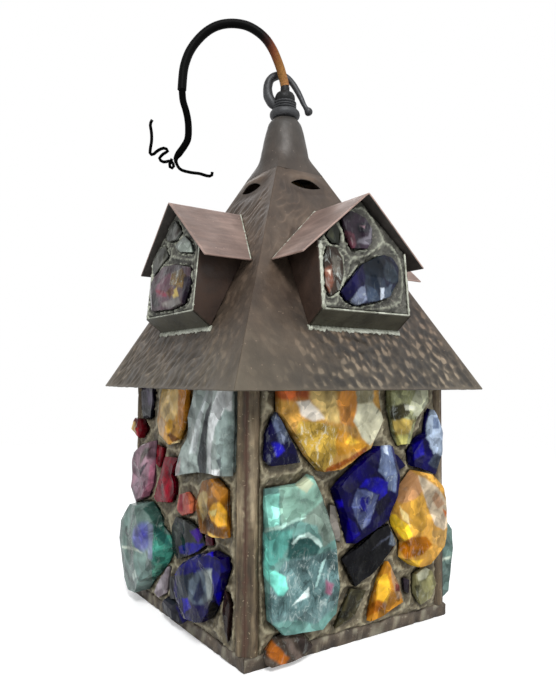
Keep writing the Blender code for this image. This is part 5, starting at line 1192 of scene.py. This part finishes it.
def dents(across, along, pitch, row, tilt, seed):
    """Hammer marks at points: how deep in a mark, and how much painted highlight on a mark's lower rim."""
    across, along = (across + 2.4 * np.sin(0.16 * along + 1.7 * np.sin(0.09 * across + seed)),
                     along + 2.0 * np.sin(0.19 * across + 1.5 * np.sin(0.11 * along + seed)))
    a = (across * math.cos(tilt) + along * math.sin(tilt)) / pitch
    b = (along * math.cos(tilt) - across * math.sin(tilt)) / row
    column, line = np.floor(a), np.floor(b)
    deepest, rim_highlights = np.zeros(len(a)), np.zeros(len(a))
    for i in (-1, 0, 1):
        for j in (-1, 0, 1):
            c, r = column + i, line + j
            x = a - c - 0.5 - 0.25 * (2 * np.mod(r, 2) - 1) - 0.70 * (scattered(c, r, seed) - 0.5)
            y = b - r - 0.5 - 0.65 * (scattered(c, r, seed + 1) - 0.5)
            strength = 0.25 + 0.75 * scattered(c, r, seed + 2)
            size = 0.75 + 0.5 * scattered(c, r, seed + 3)
            far = (x * x / 0.32 + y * y / 0.28) / size
            deepest = np.maximum(deepest, np.clip(1 - far, 0, 1) * strength)
            # Painted highlight along the lower side of each mark's rim.
            lower = np.clip(-(0.45 * x + 0.90 * y) / np.sqrt(x * x + y * y + 1e-6), 0, 1)
            rim_highlights = np.maximum(rim_highlights, np.exp(-((far - 1.0) / 0.26) ** 2) * lower * strength ** 1.5)
    return deepest, rim_highlights * ramp(0.5 - deepest, 0.0, 0.4)


def hammered(across, along, half, kind):
    """Marks on a main roof face: depth in millimetres, painted highlight on their lower edges, and where the
    small ones are.
    """
    off_hip = ramp(half - np.abs(across), 1.0, 7.0) * ramp(along, 0.0, 3.0)
    if kind == "front":
        low = (0.10 + 0.90 * ramp(across + half, 30, 72)) * (1.0 - 0.80 * ramp(along, 66, 100))
        high = 0.55 * ramp(along, 80, 100) * ramp(-across, 0, 12)
    else:
        low = 0.25 * (1 - ramp(along, 100, 130))
        high = 0.12 + 0.88 * np.maximum((1 - ramp(along, 56, 84)) * ramp(half - across, 20, 46),
                                        ramp(along, 78, 92) * (1 - ramp(along, 150, 166)))
    first, second = (dents(across, along, *mark) for mark in ROOF_MARKS[kind])
    depth = (0.8 * first[0] * low + 1.3 * second[0] * high) * off_hip
    return depth, (0.35 * first[1] * low + second[1] * high) * off_hip, low * off_hip


def roof_panel_mesh(name, kind):
    """Hammered roof face with a raised brow over its vent."""
    slant = math.hypot(1, ROOF_SLOPE) / ROOF_SLOPE
    outward = Vector((0.0, -ROOF_SLOPE, 1.0)).normalized()
    wide = ROOF_CELLS + 1
    height = np.repeat(np.linspace(EAVE_HEIGHT, NECK_BASE, wide), wide)
    half = roof_half(height) - HIP_GAP
    x = np.tile(np.linspace(-1, 1, wide), wide) * half
    depth, shine, small = hammered(x / MM, (height - EAVE_HEIGHT) * slant / MM, half / MM, kind)
    bm, wear_and_shade = shaded_worn_mesh()
    marked = bm.verts.layers.float.new("Marks")
    verts = []
    for across, z, side, dent, rim, mark in zip(x, height, half, depth, shine, small):
        wave = 0.6 * noise_at(across * 30, z * 34, ROOF_SEED[kind])
        brow_u, brow_v = (across / MM - VENT_ASIDE[kind]) / 15.5, (z - VENT_HEIGHT) / MM
        brow = 2.8 * math.exp(-brow_u ** 4 - ((brow_v - 5.4) / 4.0) ** 2)
        dip = -1.2 * math.exp(-brow_u ** 4 - ((brow_v + 4.2) / 3.2) ** 2)
        to_hip = side - abs(across)
        hip = min(1.0, to_hip / (6 * MM))
        out = (min(0.0, wave) - dent) * hip + (brow + dip) * hip
        vert = bm.verts.new(Vector((across, -roof_half(z), z)) + outward * out * MM)
        # Lighter on the waves, the brow and a little at the hips, darker in the dents, with the painted
        # highlight on the marks' lower edges.
        value = 0.52 - 0.26 * dent + 0.60 * rim + 0.25 * wave + 0.10 * brow
        vert[wear_and_shade] = unit(value + 0.04 * max(0.0, 1.0 - to_hip / (2.2 * MM)))
        vert[marked] = mark
        verts.append(vert)
    net(bm, [verts[k:k + wide] for k in range(0, len(verts), wide)])
    return mesh_from(bm, name, closed=False)


def vent_cutter(aside):
    """Lens-shaped slot and the hidden light hole, cut through a roof face."""
    bm = bmesh.new()
    slot = []
    for angle in turns(28):
        up = math.sin(angle)
        slot.append((aside + VENT_HALF * math.cos(angle), (4.4 if up > 0 else 2.3) * up * abs(up) ** 0.8))
    hole = [(-18, 0), (18, 0), (18, 30), (-18, 30)]
    for shape, base in ((slot, VENT_HEIGHT), (hole, LIGHT_HOLE_SILL)):
        skin(bm, [[bm.verts.new((x * MM, y, base + z * MM)) for x, z in shape] for y in (-0.110, -0.012)])
    return placed("vent_cutter", mesh_from(bm, "vent_cutter"))


def applied(piece):
    """A piece's mesh with its modifiers applied."""
    graph = bpy.context.evaluated_depsgraph_get()
    return bpy.data.meshes.new_from_object(piece.evaluated_get(graph), preserve_all_data_layers=True,
                                           depsgraph=graph)


def build_roof():
    """The four faces of the main roof, in sheet thickness and with their openings cut."""
    for kind, sides in SIDES_OF.items():
        cutter = vent_cutter(VENT_ASIDE[kind])
        name = f"{kind}_roof_sheet"
        base = placed(name, roof_panel_mesh(name, kind))
        thick(base, ROOF_SHEET)
        cut = base.modifiers.new("holes", "BOOLEAN")
        cut.operation = "DIFFERENCE"
        cut.object = cutter
        bpy.context.view_layer.update()
        mesh = applied(base)
        bpy.data.objects.remove(base)
        bpy.data.objects.remove(cutter)
        for side in sides:
            add_piece(f"{side}_roof_face", mesh, [ROOF], replaces=[f"roof_panel_{side}"],
                      side=side, angle=35)


# Neck: half width of its square foot, and its levels as (height, radius, how square)
NECK_SIDES = 96
NECK_HALF = 0.0212
NECK_FOOT = 0.0026
NECK_WALL = 0.0017
NECK_LEVELS = [(0.0, 18.8, 1.0), (7.2, 18.8, 0.5), (16.0, 18.8, 0.0), (30.0, 16.0, 0.0), (41.0, 13.2, 0.0),
               (46.0, 9.8, 0.0)]


def neck_ring_points(height, radius, squareness, inset=0.0):
    """Points of a level of the neck, between a square and a circle."""
    ring = []
    for angle in turns(NECK_SIDES):
        square = (NECK_HALF - inset) / max(abs(math.cos(angle)), abs(math.sin(angle)))
        reach = squareness * square + (1 - squareness) * (radius - inset)
        ring.append((reach * math.cos(angle), reach * math.sin(angle), height))
    return ring


def build_neck():
    """Sheet neck from the square roof to the round bead, dented a little."""
    bm, wear_and_shade = shaded_worn_mesh()
    base = NECK_BASE + 0.00005
    rings = [[bm.verts.new(point) for point in neck_ring_points(z, 0.0, 1.0, NECK_WALL)]
             for z in (NECK_BASE - NECK_FOOT, base)]
    for vert in bm.verts:
        vert[wear_and_shade] = 0.2
    for height, radius, squareness in smooth_route(NECK_LEVELS, 1.4):
        ring = []
        for point in neck_ring_points(base + height * MM, radius * MM, unit(squareness)):
            x, y, z = point
            wave = noise.noise(Vector(point) * 90) * 0.35 + noise.noise(Vector(point) * 260) * 0.12
            wave = min(wave, 0.05)
            shrink = 1.0 + wave * MM / max(math.hypot(x, y), 1e-6)
            vert = bm.verts.new((x * shrink, y * shrink, min(z, NECK_TOP)))
            vert[wear_and_shade] = 0.52 + 0.5 * wave
            ring.append(vert)
        rings.append(ring)
    skin(bm, rings, ends=False)
    bm.faces.new(rings[-1])
    add_piece("neck_skin", mesh_from(bm, "neck_skin"), [NECK], replaces=["roof_neck"],
              angle=40)


# Dormers, in metres, but the half width over their cheeks in millimetres
DORMER_RIDGE = 0.2912
DORMER_ROOF_HALF = 0.0525
DORMER_ROOF_DROP = 0.0446
DORMER_ROOF_FRONT = 0.0976
DORMER_ROOF_SHEET = 0.0010
DORMER_FALL = DORMER_ROOF_DROP / DORMER_ROOF_HALF
DORMER_SILL_HEIGHT = 0.2122
DORMER_SILL_FRONT = 0.0966
DORMER_LEAN = math.radians(5.5)
DORMER_HALF_WIDTH = 38.5
DORMER_LEADING_SHEET = 0.002
APRON_FOOT = DORMER_SILL_HEIGHT - 0.0092
APRON_SHEET = 0.0008
DORMER_ROOF_GAP = 0.0004


def dormer_point(across, up, out):
    """Point of a dormer's leaning front, from millimetres."""
    return Vector((across * MM,
                   -DORMER_SILL_FRONT + (up * math.sin(DORMER_LEAN) - out * math.cos(DORMER_LEAN)) * MM,
                   DORMER_SILL_HEIGHT + (up * math.cos(DORMER_LEAN) + out * math.sin(DORMER_LEAN)) * MM))


def dormer_border(grid):
    """Distance of points of a dormer's leading to its cheeks, sill and roof."""
    top = (DORMER_RIDGE - DORMER_SILL_HEIGHT) / MM - 2.2 - np.abs(grid[:, 0]) * DORMER_FALL
    return np.minimum.reduce([DORMER_HALF_WIDTH - 0.6 - np.abs(grid[:, 0]), grid[:, 1] - 0.8,
                              (top - grid[:, 1]) / math.hypot(1, DORMER_FALL) + 0.6])


def dormer_roof_mesh(name, seed):
    """Folded sheet over a dormer, lightly hammered, against the main roof."""
    bm, wear_and_shade = shaded_worn_mesh()
    columns, rows = 84, 48
    fold = 0.8 * MM
    grid = []
    for i in range(columns + 1):
        x = -DORMER_ROOF_HALF + 2 * DORMER_ROOF_HALF * i / columns
        z = DORMER_RIDGE - (math.sqrt(x * x + fold ** 2) - fold) * DORMER_FALL
        front = -DORMER_ROOF_FRONT + 0.0016 * abs(x) / DORMER_ROOF_HALF
        back = -roof_half(z) - DORMER_ROOF_GAP
        up = Vector((math.copysign(DORMER_FALL, x), 0.0, 1.0)).normalized()
        line = []
        for j in range(rows + 1):
            y = front + (back - front) * j / rows
            mark = noise_at(x * 140, y * 60, seed)
            wave = 0.5 * noise_at(x * 30, y * 30, seed)
            rim = min(1.0, j / 3, (DORMER_ROOF_HALF - abs(x)) / (3 * MM), abs(x) / (3 * MM))
            out = (0.35 * min(0.0, mark) + min(0.0, wave)) * rim
            vert = bm.verts.new(Vector((x, y, z)) + up * out * MM)
            edge = max(0.0, 1.0 - min(j * 0.9, (DORMER_ROOF_HALF - abs(x)) / MM, abs(x) / MM) / 1.6)
            vert[wear_and_shade] = unit(0.50 + 0.16 * mark + 0.24 * wave + 0.22 * edge)
            line.append(vert)
        grid.append(line)
    for one, other in zip(grid, grid[1:]):
        for j in range(rows):
            bm.faces.new((one[j], other[j], other[j + 1], one[j + 1]))
    return mesh_from(bm, name, closed=False)


def plate(bm, edges, steps):
    """Thin plate inside four long edges, each from a start to an end, in even steps."""
    loops = [[bm.verts.new(start.lerp(end, k / steps)) for k in range(steps + 1)] for start, end in edges]
    net(bm, loops + loops[:1])
    for k in (0, steps):
        bm.faces.new([loop[k] for loop in loops])


def dormer_skin():
    """Cheeks and apron of a dormer as thin sheets with their own finishes."""
    bm = bmesh.new()
    half = DORMER_HALF_WIDTH
    top = (DORMER_RIDGE - half * MM * DORMER_FALL - 0.0021 - DORMER_SILL_HEIGHT) / math.cos(DORMER_LEAN) / MM
    head = dormer_point(half, top, 0.0).z

    def roof_point(across, z):
        return Vector((across * MM, -roof_half(z) - DORMER_ROOF_GAP, z))

    def front_edge(across):
        return dormer_point(across, 0.0, 0.0), dormer_point(across, top, 0.0)

    def back_edge(across):
        return roof_point(across, APRON_FOOT), roof_point(across, head)

    for side in (-1, 1):
        outer, inner = side * half, side * (half - 1.0)
        plate(bm, (front_edge(outer), back_edge(outer), back_edge(inner), front_edge(inner)), 8)
    cheeks = set(bm.faces)
    plate(bm, ((dormer_point(-half, 0.0, 0.0), dormer_point(half, 0.0, 0.0)),
               (roof_point(-half, APRON_FOOT), roof_point(half, APRON_FOOT)),
               (roof_point(-half, APRON_FOOT + APRON_SHEET), roof_point(half, APRON_FOOT + APRON_SHEET)),
               (dormer_point(-half, 1.0, 0.0), dormer_point(half, 1.0, 0.0))), 20)
    for face in bm.faces:
        face.material_index = 0 if face in cheeks else 1
    return mesh_from(bm, "dormer_skin")


def directions(points):
    """Direction of a line at each of its points."""
    last = len(points) - 1
    return [(points[min(i + 1, last)] - points[max(i - 1, 0)]).normalized() for i in range(last + 1)]


def round_section(bm, centre, side, other, radius, count):
    """Ring of points round a centre, in the plane of two directions."""
    return [bm.verts.new(centre + (side * math.cos(angle) + other * math.sin(angle)) * radius)
            for angle in turns(count)]


def solder_bead(bm, points, radius, seed):
    """Uneven bead of solder along a line of points."""
    rings = []
    for i, (point, ahead) in enumerate(zip(points, directions(points))):
        side = ahead.orthogonal().normalized()
        thickness = radius * (0.75 + 0.55 * noise_at(i * 0.7, seed, 0.0))
        rings.append(round_section(bm, point, side, ahead.cross(side), thickness, 8))
    skin(bm, rings)


def smear(bm, points, down, out, seed):
    """Flat uneven band of solder below a line of points."""
    rings = []
    for i, point in enumerate(points):
        wide = (1.9 + 1.5 * noise_at(i * 0.33, seed, 0.0)) * MM
        high = (0.9 + 0.9 * noise_at(i * 0.8, seed, 5.0)) * MM
        middle = point + down * (0.8 * wide)
        ring = []
        for k, angle in enumerate(turns(10)):
            lump = 1.0 + 0.5 * noise_at(i * 0.6, k * 0.9, seed)
            ring.append(bm.verts.new(middle + down * (math.cos(angle) * wide)
                                     + out * (math.sin(angle) * high * lump)))
        rings.append(ring)
    skin(bm, rings)


def dormer_solder():
    """Solder along the apron's foot, the roof's back edges and the front's own edges."""
    bm = bmesh.new()
    half = DORMER_HALF_WIDTH * MM
    reach = half + 0.001
    low = APRON_FOOT + 0.3 * MM
    foot = [Vector((-half - 0.001 + 2 * reach * k / 90, -roof_half(low), low)) for k in range(91)]
    down_roof = Vector((0, -1 / ROOF_SLOPE, -1)).normalized()
    smear(bm, foot, down_roof, Vector((0, -ROOF_SLOPE, 1)).normalized(), 3.0)
    for side, seed in ((-1, 5.0), (1, 9.0)):
        line = []
        for k in range(37):
            x = (DORMER_ROOF_HALF - 0.001) * k / 36
            z = DORMER_RIDGE - x * DORMER_FALL + 0.0001
            line.append(Vector((side * x, -roof_half(z) - 0.0006, z)))
        solder_bead(bm, line, 0.75 * MM, seed)
    for across, out, radius, seed in ((-half / MM + 2.3, -0.9, 2.3, 13.0),
                                      (half / MM - 1.0, -0.3, 1.0, 17.0)):
        upright = [dormer_point(across, 0.8 + 43 * k / 24, out) for k in range(25)]
        solder_bead(bm, upright, radius * MM, seed)
    sill = [dormer_point(-37 + 74 * k / 36, 0.9, -0.3) for k in range(37)]
    solder_bead(bm, sill, 0.8 * MM, 21.0)
    return mesh_from(bm, "dormer_solder")


# Main glass of each dormer layout, and the seed of its roof's marks
DORMER_MAIN = {"front": ("navy", 3.0), "left": ("pink", 6.0)}


def build_dormers():
    """The four dormers: leading, glass, roof, cheeks with apron, and solder."""
    plates = dormer_skin()
    solder = dormer_solder()
    for kind, rows in DORMER_GLASS.items():
        main, roof_seed = DORMER_MAIN[kind]
        outlines = [[(u, 1.6 + 0.99 * (v - 1.6)) for u, v in pairs(row[5])] for row in rows]
        sheet = lead_sheet(f"dormer_{kind}_leading", dormer_border, (-38.2, 38.2), (0.6, 77.0), outlines,
                           dormer_point, spacing=0.9, edge_band=0.8, lip=(2.0, 2.1, 0.9, 0.22))
        roof = dormer_roof_mesh(f"dormer_{kind}_roof", roof_seed)
        chunks, small = glass_meshes(f"dormer_{kind}", rows, outlines, dormer_point, seed_step=5,
                                     first_seed=2 + len(kind), back=4.5, main=[main])
        for side in SIDES_OF[kind]:
            add_leading(f"{side}_dormer_leading", sheet, SHADED_DORMER_LEAD, DORMER_LEADING_SHEET,
                        f"dormer_{side}_leading", side)
            add_glass(f"{side}_dormer", f"dormer_{side}", chunks, small, side)
            cover = add_piece(f"{side}_dormer_cover", roof, [DORMER, SHADED_UNDERSIDE],
                              replaces=[f"dormer_{side}_roof"], side=side, angle=35)
            # The sheet's underside and edges take the dark grey as painted shade.
            thick(cover, DORMER_ROOF_SHEET).material_offset = 1
            add_piece(f"{side}_dormer_skin", plates, [CHEEK, APRON],
                      replaces=[f"dormer_{side}_box"], side=side, angle=30)
            add_piece(f"{side}_dormer_solder", solder, [SOLDER], side=side, angle=60)


# Fittings on the axis. The hook's bar is (along, up, back, radius) in its own plane, in millimetres.
ROD_HOLE = 0.00515
COLLAR_HEIGHT = 0.0060
HOOK_BAR = [
    (-5.6, 3.2, 0.0, 2.9), (-8.4, 4.0, 0.0, 3.6), (-11.0, 7.2, 0.4, 4.1), (-13.2, 12.4, 1.4, 4.0),
    (-13.7, 19.4, 2.8, 3.7), (-12.0, 25.8, 4.0, 3.4), (-8.2, 29.4, 4.8, 3.3), (-3.1, 30.4, 5.2, 3.1),
    (1.9, 28.0, 5.2, 2.8), (6.6, 22.8, 4.8, 2.5), (10.2, 16.6, 4.2, 2.4), (13.1, 10.4, 3.6, 2.2),
    (15.8, 4.4, 3.0, 1.9), (17.0, 2.4, 2.9, 2.2), (18.2, 0.8, 2.8, 3.1), (19.2, -0.9, 2.7, 3.2),
    (20.0, -2.3, 2.6, 2.1), (20.3, -2.9, 2.6, 0.9),
]


def lathe(bm, profile):
    """Turned body from a (radius, height) profile that closes on itself."""
    rings = []
    for radius, height in profile:
        rings.append([bm.verts.new((radius * math.cos(angle), radius * math.sin(angle), height))
                      for angle in turns(64)])
    skin(bm, rings, ends=False, closed=True)


def sweep(bm, centres, radii):
    """Round bar along a line of centres."""
    side = Vector((0, 0, 1)).cross(directions(centres)[0])
    rings = []
    for centre, ahead, radius in zip(centres, directions(centres), radii):
        side = (side - ahead * side.dot(ahead)).normalized()
        rings.append(round_section(bm, centre, side, ahead.cross(side), radius, 20))
    skin(bm, rings)


def cast_piece(name, bm, finish, grain, node, body, angle):
    """Turned or cast piece, its surface pushed in a little here and there."""
    bmesh.ops.recalc_face_normals(bm, faces=bm.faces[:])
    bm.normal_update()
    for vert in bm.verts:
        vert.co += vert.normal * (0.0003 * min(0.0, noise.noise(vert.co * grain)))
    add_piece(name, mesh_from(bm, name), [finish], body=body, replaces=[node], angle=angle)


def build_bead():
    """Turned bead: a collar with a half-round outside."""
    low, high = RING_LOW.z, RING_HIGH.z
    half = (high - low) / 2
    depth = min(RING_HIGH.x - ROD_HOLE, high - low) * 0.5
    profile = [(ROD_HOLE, low)]
    for k in range(13):
        angle = -math.pi / 2 + math.pi * k / 12
        profile.append((RING_HIGH.x - depth + depth * math.cos(angle), low + half + half * math.sin(angle)))
    bm = bmesh.new()
    lathe(bm, [*profile, (ROD_HOLE, high)])
    cast_piece("bead", bm, IRON, 300, "neck_ring", "root", 50)


def build_hook():
    """Cast hook on its threaded collar."""
    bm = bmesh.new()
    threads = [(0.0083 + 0.0009 * abs(math.sin(3 * math.pi * k / 24)), HOOK_BASE + 0.00025 * k)
               for k in range(25)]
    lathe(bm, [(ROD_HOLE, HOOK_BASE), *threads, (ROD_HOLE, HOOK_BASE + COLLAR_HEIGHT)])
    route = smooth_route(HOOK_BAR, 0.8)
    sweep(bm, [hook_plane(p[0], p[1], -p[2], HOOK_BASE) for p in route], [p[3] * MM for p in route])
    cast_piece("hook_cast", bm, IRON, 260, "hook", "hook", 50)


def build_grommet():
    """Domed rubber grommet with a short tube for the cord."""
    low, high = GROMMET_LOW.z, GROMMET_HIGH.z
    bm = bmesh.new()
    lathe(bm, [(0.0005, low), (0.0074, low), (0.0079, low + 0.0012), (0.0080, low + 0.0026),
               (0.0077, low + 0.0048), (0.0066, low + 0.0066), (0.0052, low + 0.0075), (0.0037, low + 0.0078),
               (0.0036, high - 0.0004), (0.0033, high), (0.0005, high)])
    cast_piece("grommet", bm, RUBBER, 350, "cord_grommet", "hook", 40)


def dress_inside():
    """Finishes of the pieces that are kept as they are."""
    finishes = {"threaded_rod": BRASS, "lock_nut": BRASS, "holder_cap": BRASS, "holder_shell": BRASS,
                "holder_interior": PORCELAIN, "contact_spring": BRASS, "bulb_base": BRASS, "bulb_glass": BULB,
                "inner_lead": RUBBER}
    for name, finish in finishes.items():
        mesh = NODES[name].data
        mesh.materials.clear()
        mesh.materials.append(finish)


def add_cord(name, route, diameter, finish, node, narrow=None):
    """One free stretch of the cord.

    Where it narrows, that is from a share of its run, over a short taper, to a share of its thickness.
    """
    points = smooth_route([hook_plane(a, u, f, GROMMET_HIGH.z) for a, u, f in route], CORD_STEP)
    curve = bpy.data.curves.new(name, "CURVE")
    curve.dimensions = "3D"
    curve.bevel_depth = diameter / 2
    curve.bevel_resolution = 5
    curve.use_fill_caps = True
    spline = curve.splines.new("POLY")
    spline.points.add(len(points) - 1)
    for i, (point, there) in enumerate(zip(spline.points, points)):
        point.co = (*there, 1.0)
        if narrow:
            after = unit((i / (len(points) - 1) - narrow[0]) / FLEX_TAPER)
            point.radius = 1.0 - after * (1.0 - narrow[1])
    curve.materials.append(finish)
    piece = placed(name, curve)
    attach(piece, "hook")
    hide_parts(node)


def build_cord():
    """The cord's sleeve, its flex that ends as one bare wire, and the second wire."""
    add_cord("sleeve", SLEEVE_ROUTE, SLEEVE_DIAMETER, SLEEVE, "cord_sleeve")
    add_cord("flex", FLEX_ROUTE, FLEX_DIAMETER, BLACK_CORD, "cord_flex",
             narrow=(FLEX_SHARE, WIRE_DIAMETER / FLEX_DIAMETER))
    add_cord("wire", WIRE_ROUTE, WIRE_DIAMETER, BLACK_CORD, "cord_wire")


# Stage. The floor is brighter for the camera by its lift, and fades out between two distances. Lamps are
# (name, place, size, power).
FLOOR_DROP = 0.0002
FLOOR_LIFT = 0.34
FLOOR_FADE = (0.35, 1.3)
LAMPS = [("key", (-0.9, -1.6, 1.9), 0.6, 46.0), ("fill", (1.4, -1.6, 0.9), 1.4, 7.0),
         ("rim", (0.6, 1.6, 1.6), 1.0, 8.0)]


def add_floor():
    """Pale floor that the camera sees a little brighter, and that ends softly."""
    bm = bmesh.new()
    bmesh.ops.create_circle(bm, cap_ends=True, radius=6.0, segments=96)
    n = Finish("floor_finish", roughness=0.8, shine=0.0)
    n.shader.inputs["Base Color"].default_value = (0.94, 0.94, 0.94, 1.0)
    lift = n.add("ShaderNodeEmission")
    camera_sees = n.add("ShaderNodeLightPath").outputs["Is Camera Ray"]
    n.feed(lift, ("Strength", n.maths("MULTIPLY", camera_sees, FLOOR_LIFT)))
    lifted = n.add("ShaderNodeAddShader")
    n.feed(lifted, (0, n.shader.outputs[0]), (1, lift.outputs[0]))
    away = n.span(n.vector("LENGTH", n.place), *FLOOR_FADE)
    clear = n.add("ShaderNodeBsdfTransparent")
    n.show("Material Output", n.blend(away, lifted.outputs[0], clear.outputs[0]))
    floor = placed("floor", mesh_from(bm, "floor"))
    floor.location.z = -FLOOR_DROP
    floor.data.materials.append(n.material)


def add_surroundings():
    """White surroundings to look at, and dimmer ones as light."""
    world = bpy.data.worlds.new("studio")
    bpy.context.scene.world = world
    world.use_nodes = True
    n = Nodes(world.node_tree)
    plain = n.tree.nodes["Background"]
    plain.inputs["Color"].default_value = (0.93, 0.96, 1.0, 1.0)
    n.feed(plain, ("Strength", 0.46))
    white = n.add("ShaderNodeBackground")
    n.feed(white, ("Color", (255, 255, 255)), ("Strength", 1.0))
    rays = n.add("ShaderNodeLightPath").outputs
    seen = n.maths("MAXIMUM", rays["Is Camera Ray"], rays["Is Glossy Ray"])
    seen = n.maths("MAXIMUM", seen, rays["Is Transmission Ray"])
    n.show("World Output", n.blend(seen, plain.outputs[0], white.outputs[0]))


def add_lamps():
    """Soft lamps that look at the middle of the lantern."""
    for name, place, size, power in LAMPS:
        data = bpy.data.lights.new(name, "AREA")
        data.size = size
        data.energy = power
        lamp = placed(name, data)
        lamp.location = place
        aim = Vector((0.0, 0.0, 0.2)) - Vector(place)
        lamp.rotation_euler = aim.to_track_quat("-Z", "Y").to_euler()


bpy.context.scene.view_settings.view_transform = "Standard"
add_camera()
build_cord()
add_floor()
add_surroundings()
add_lamps()
build_glass_walls()
build_frames()
build_roof()
build_neck()
build_dormers()
build_bead()
build_hook()
build_grommet()
dress_inside()
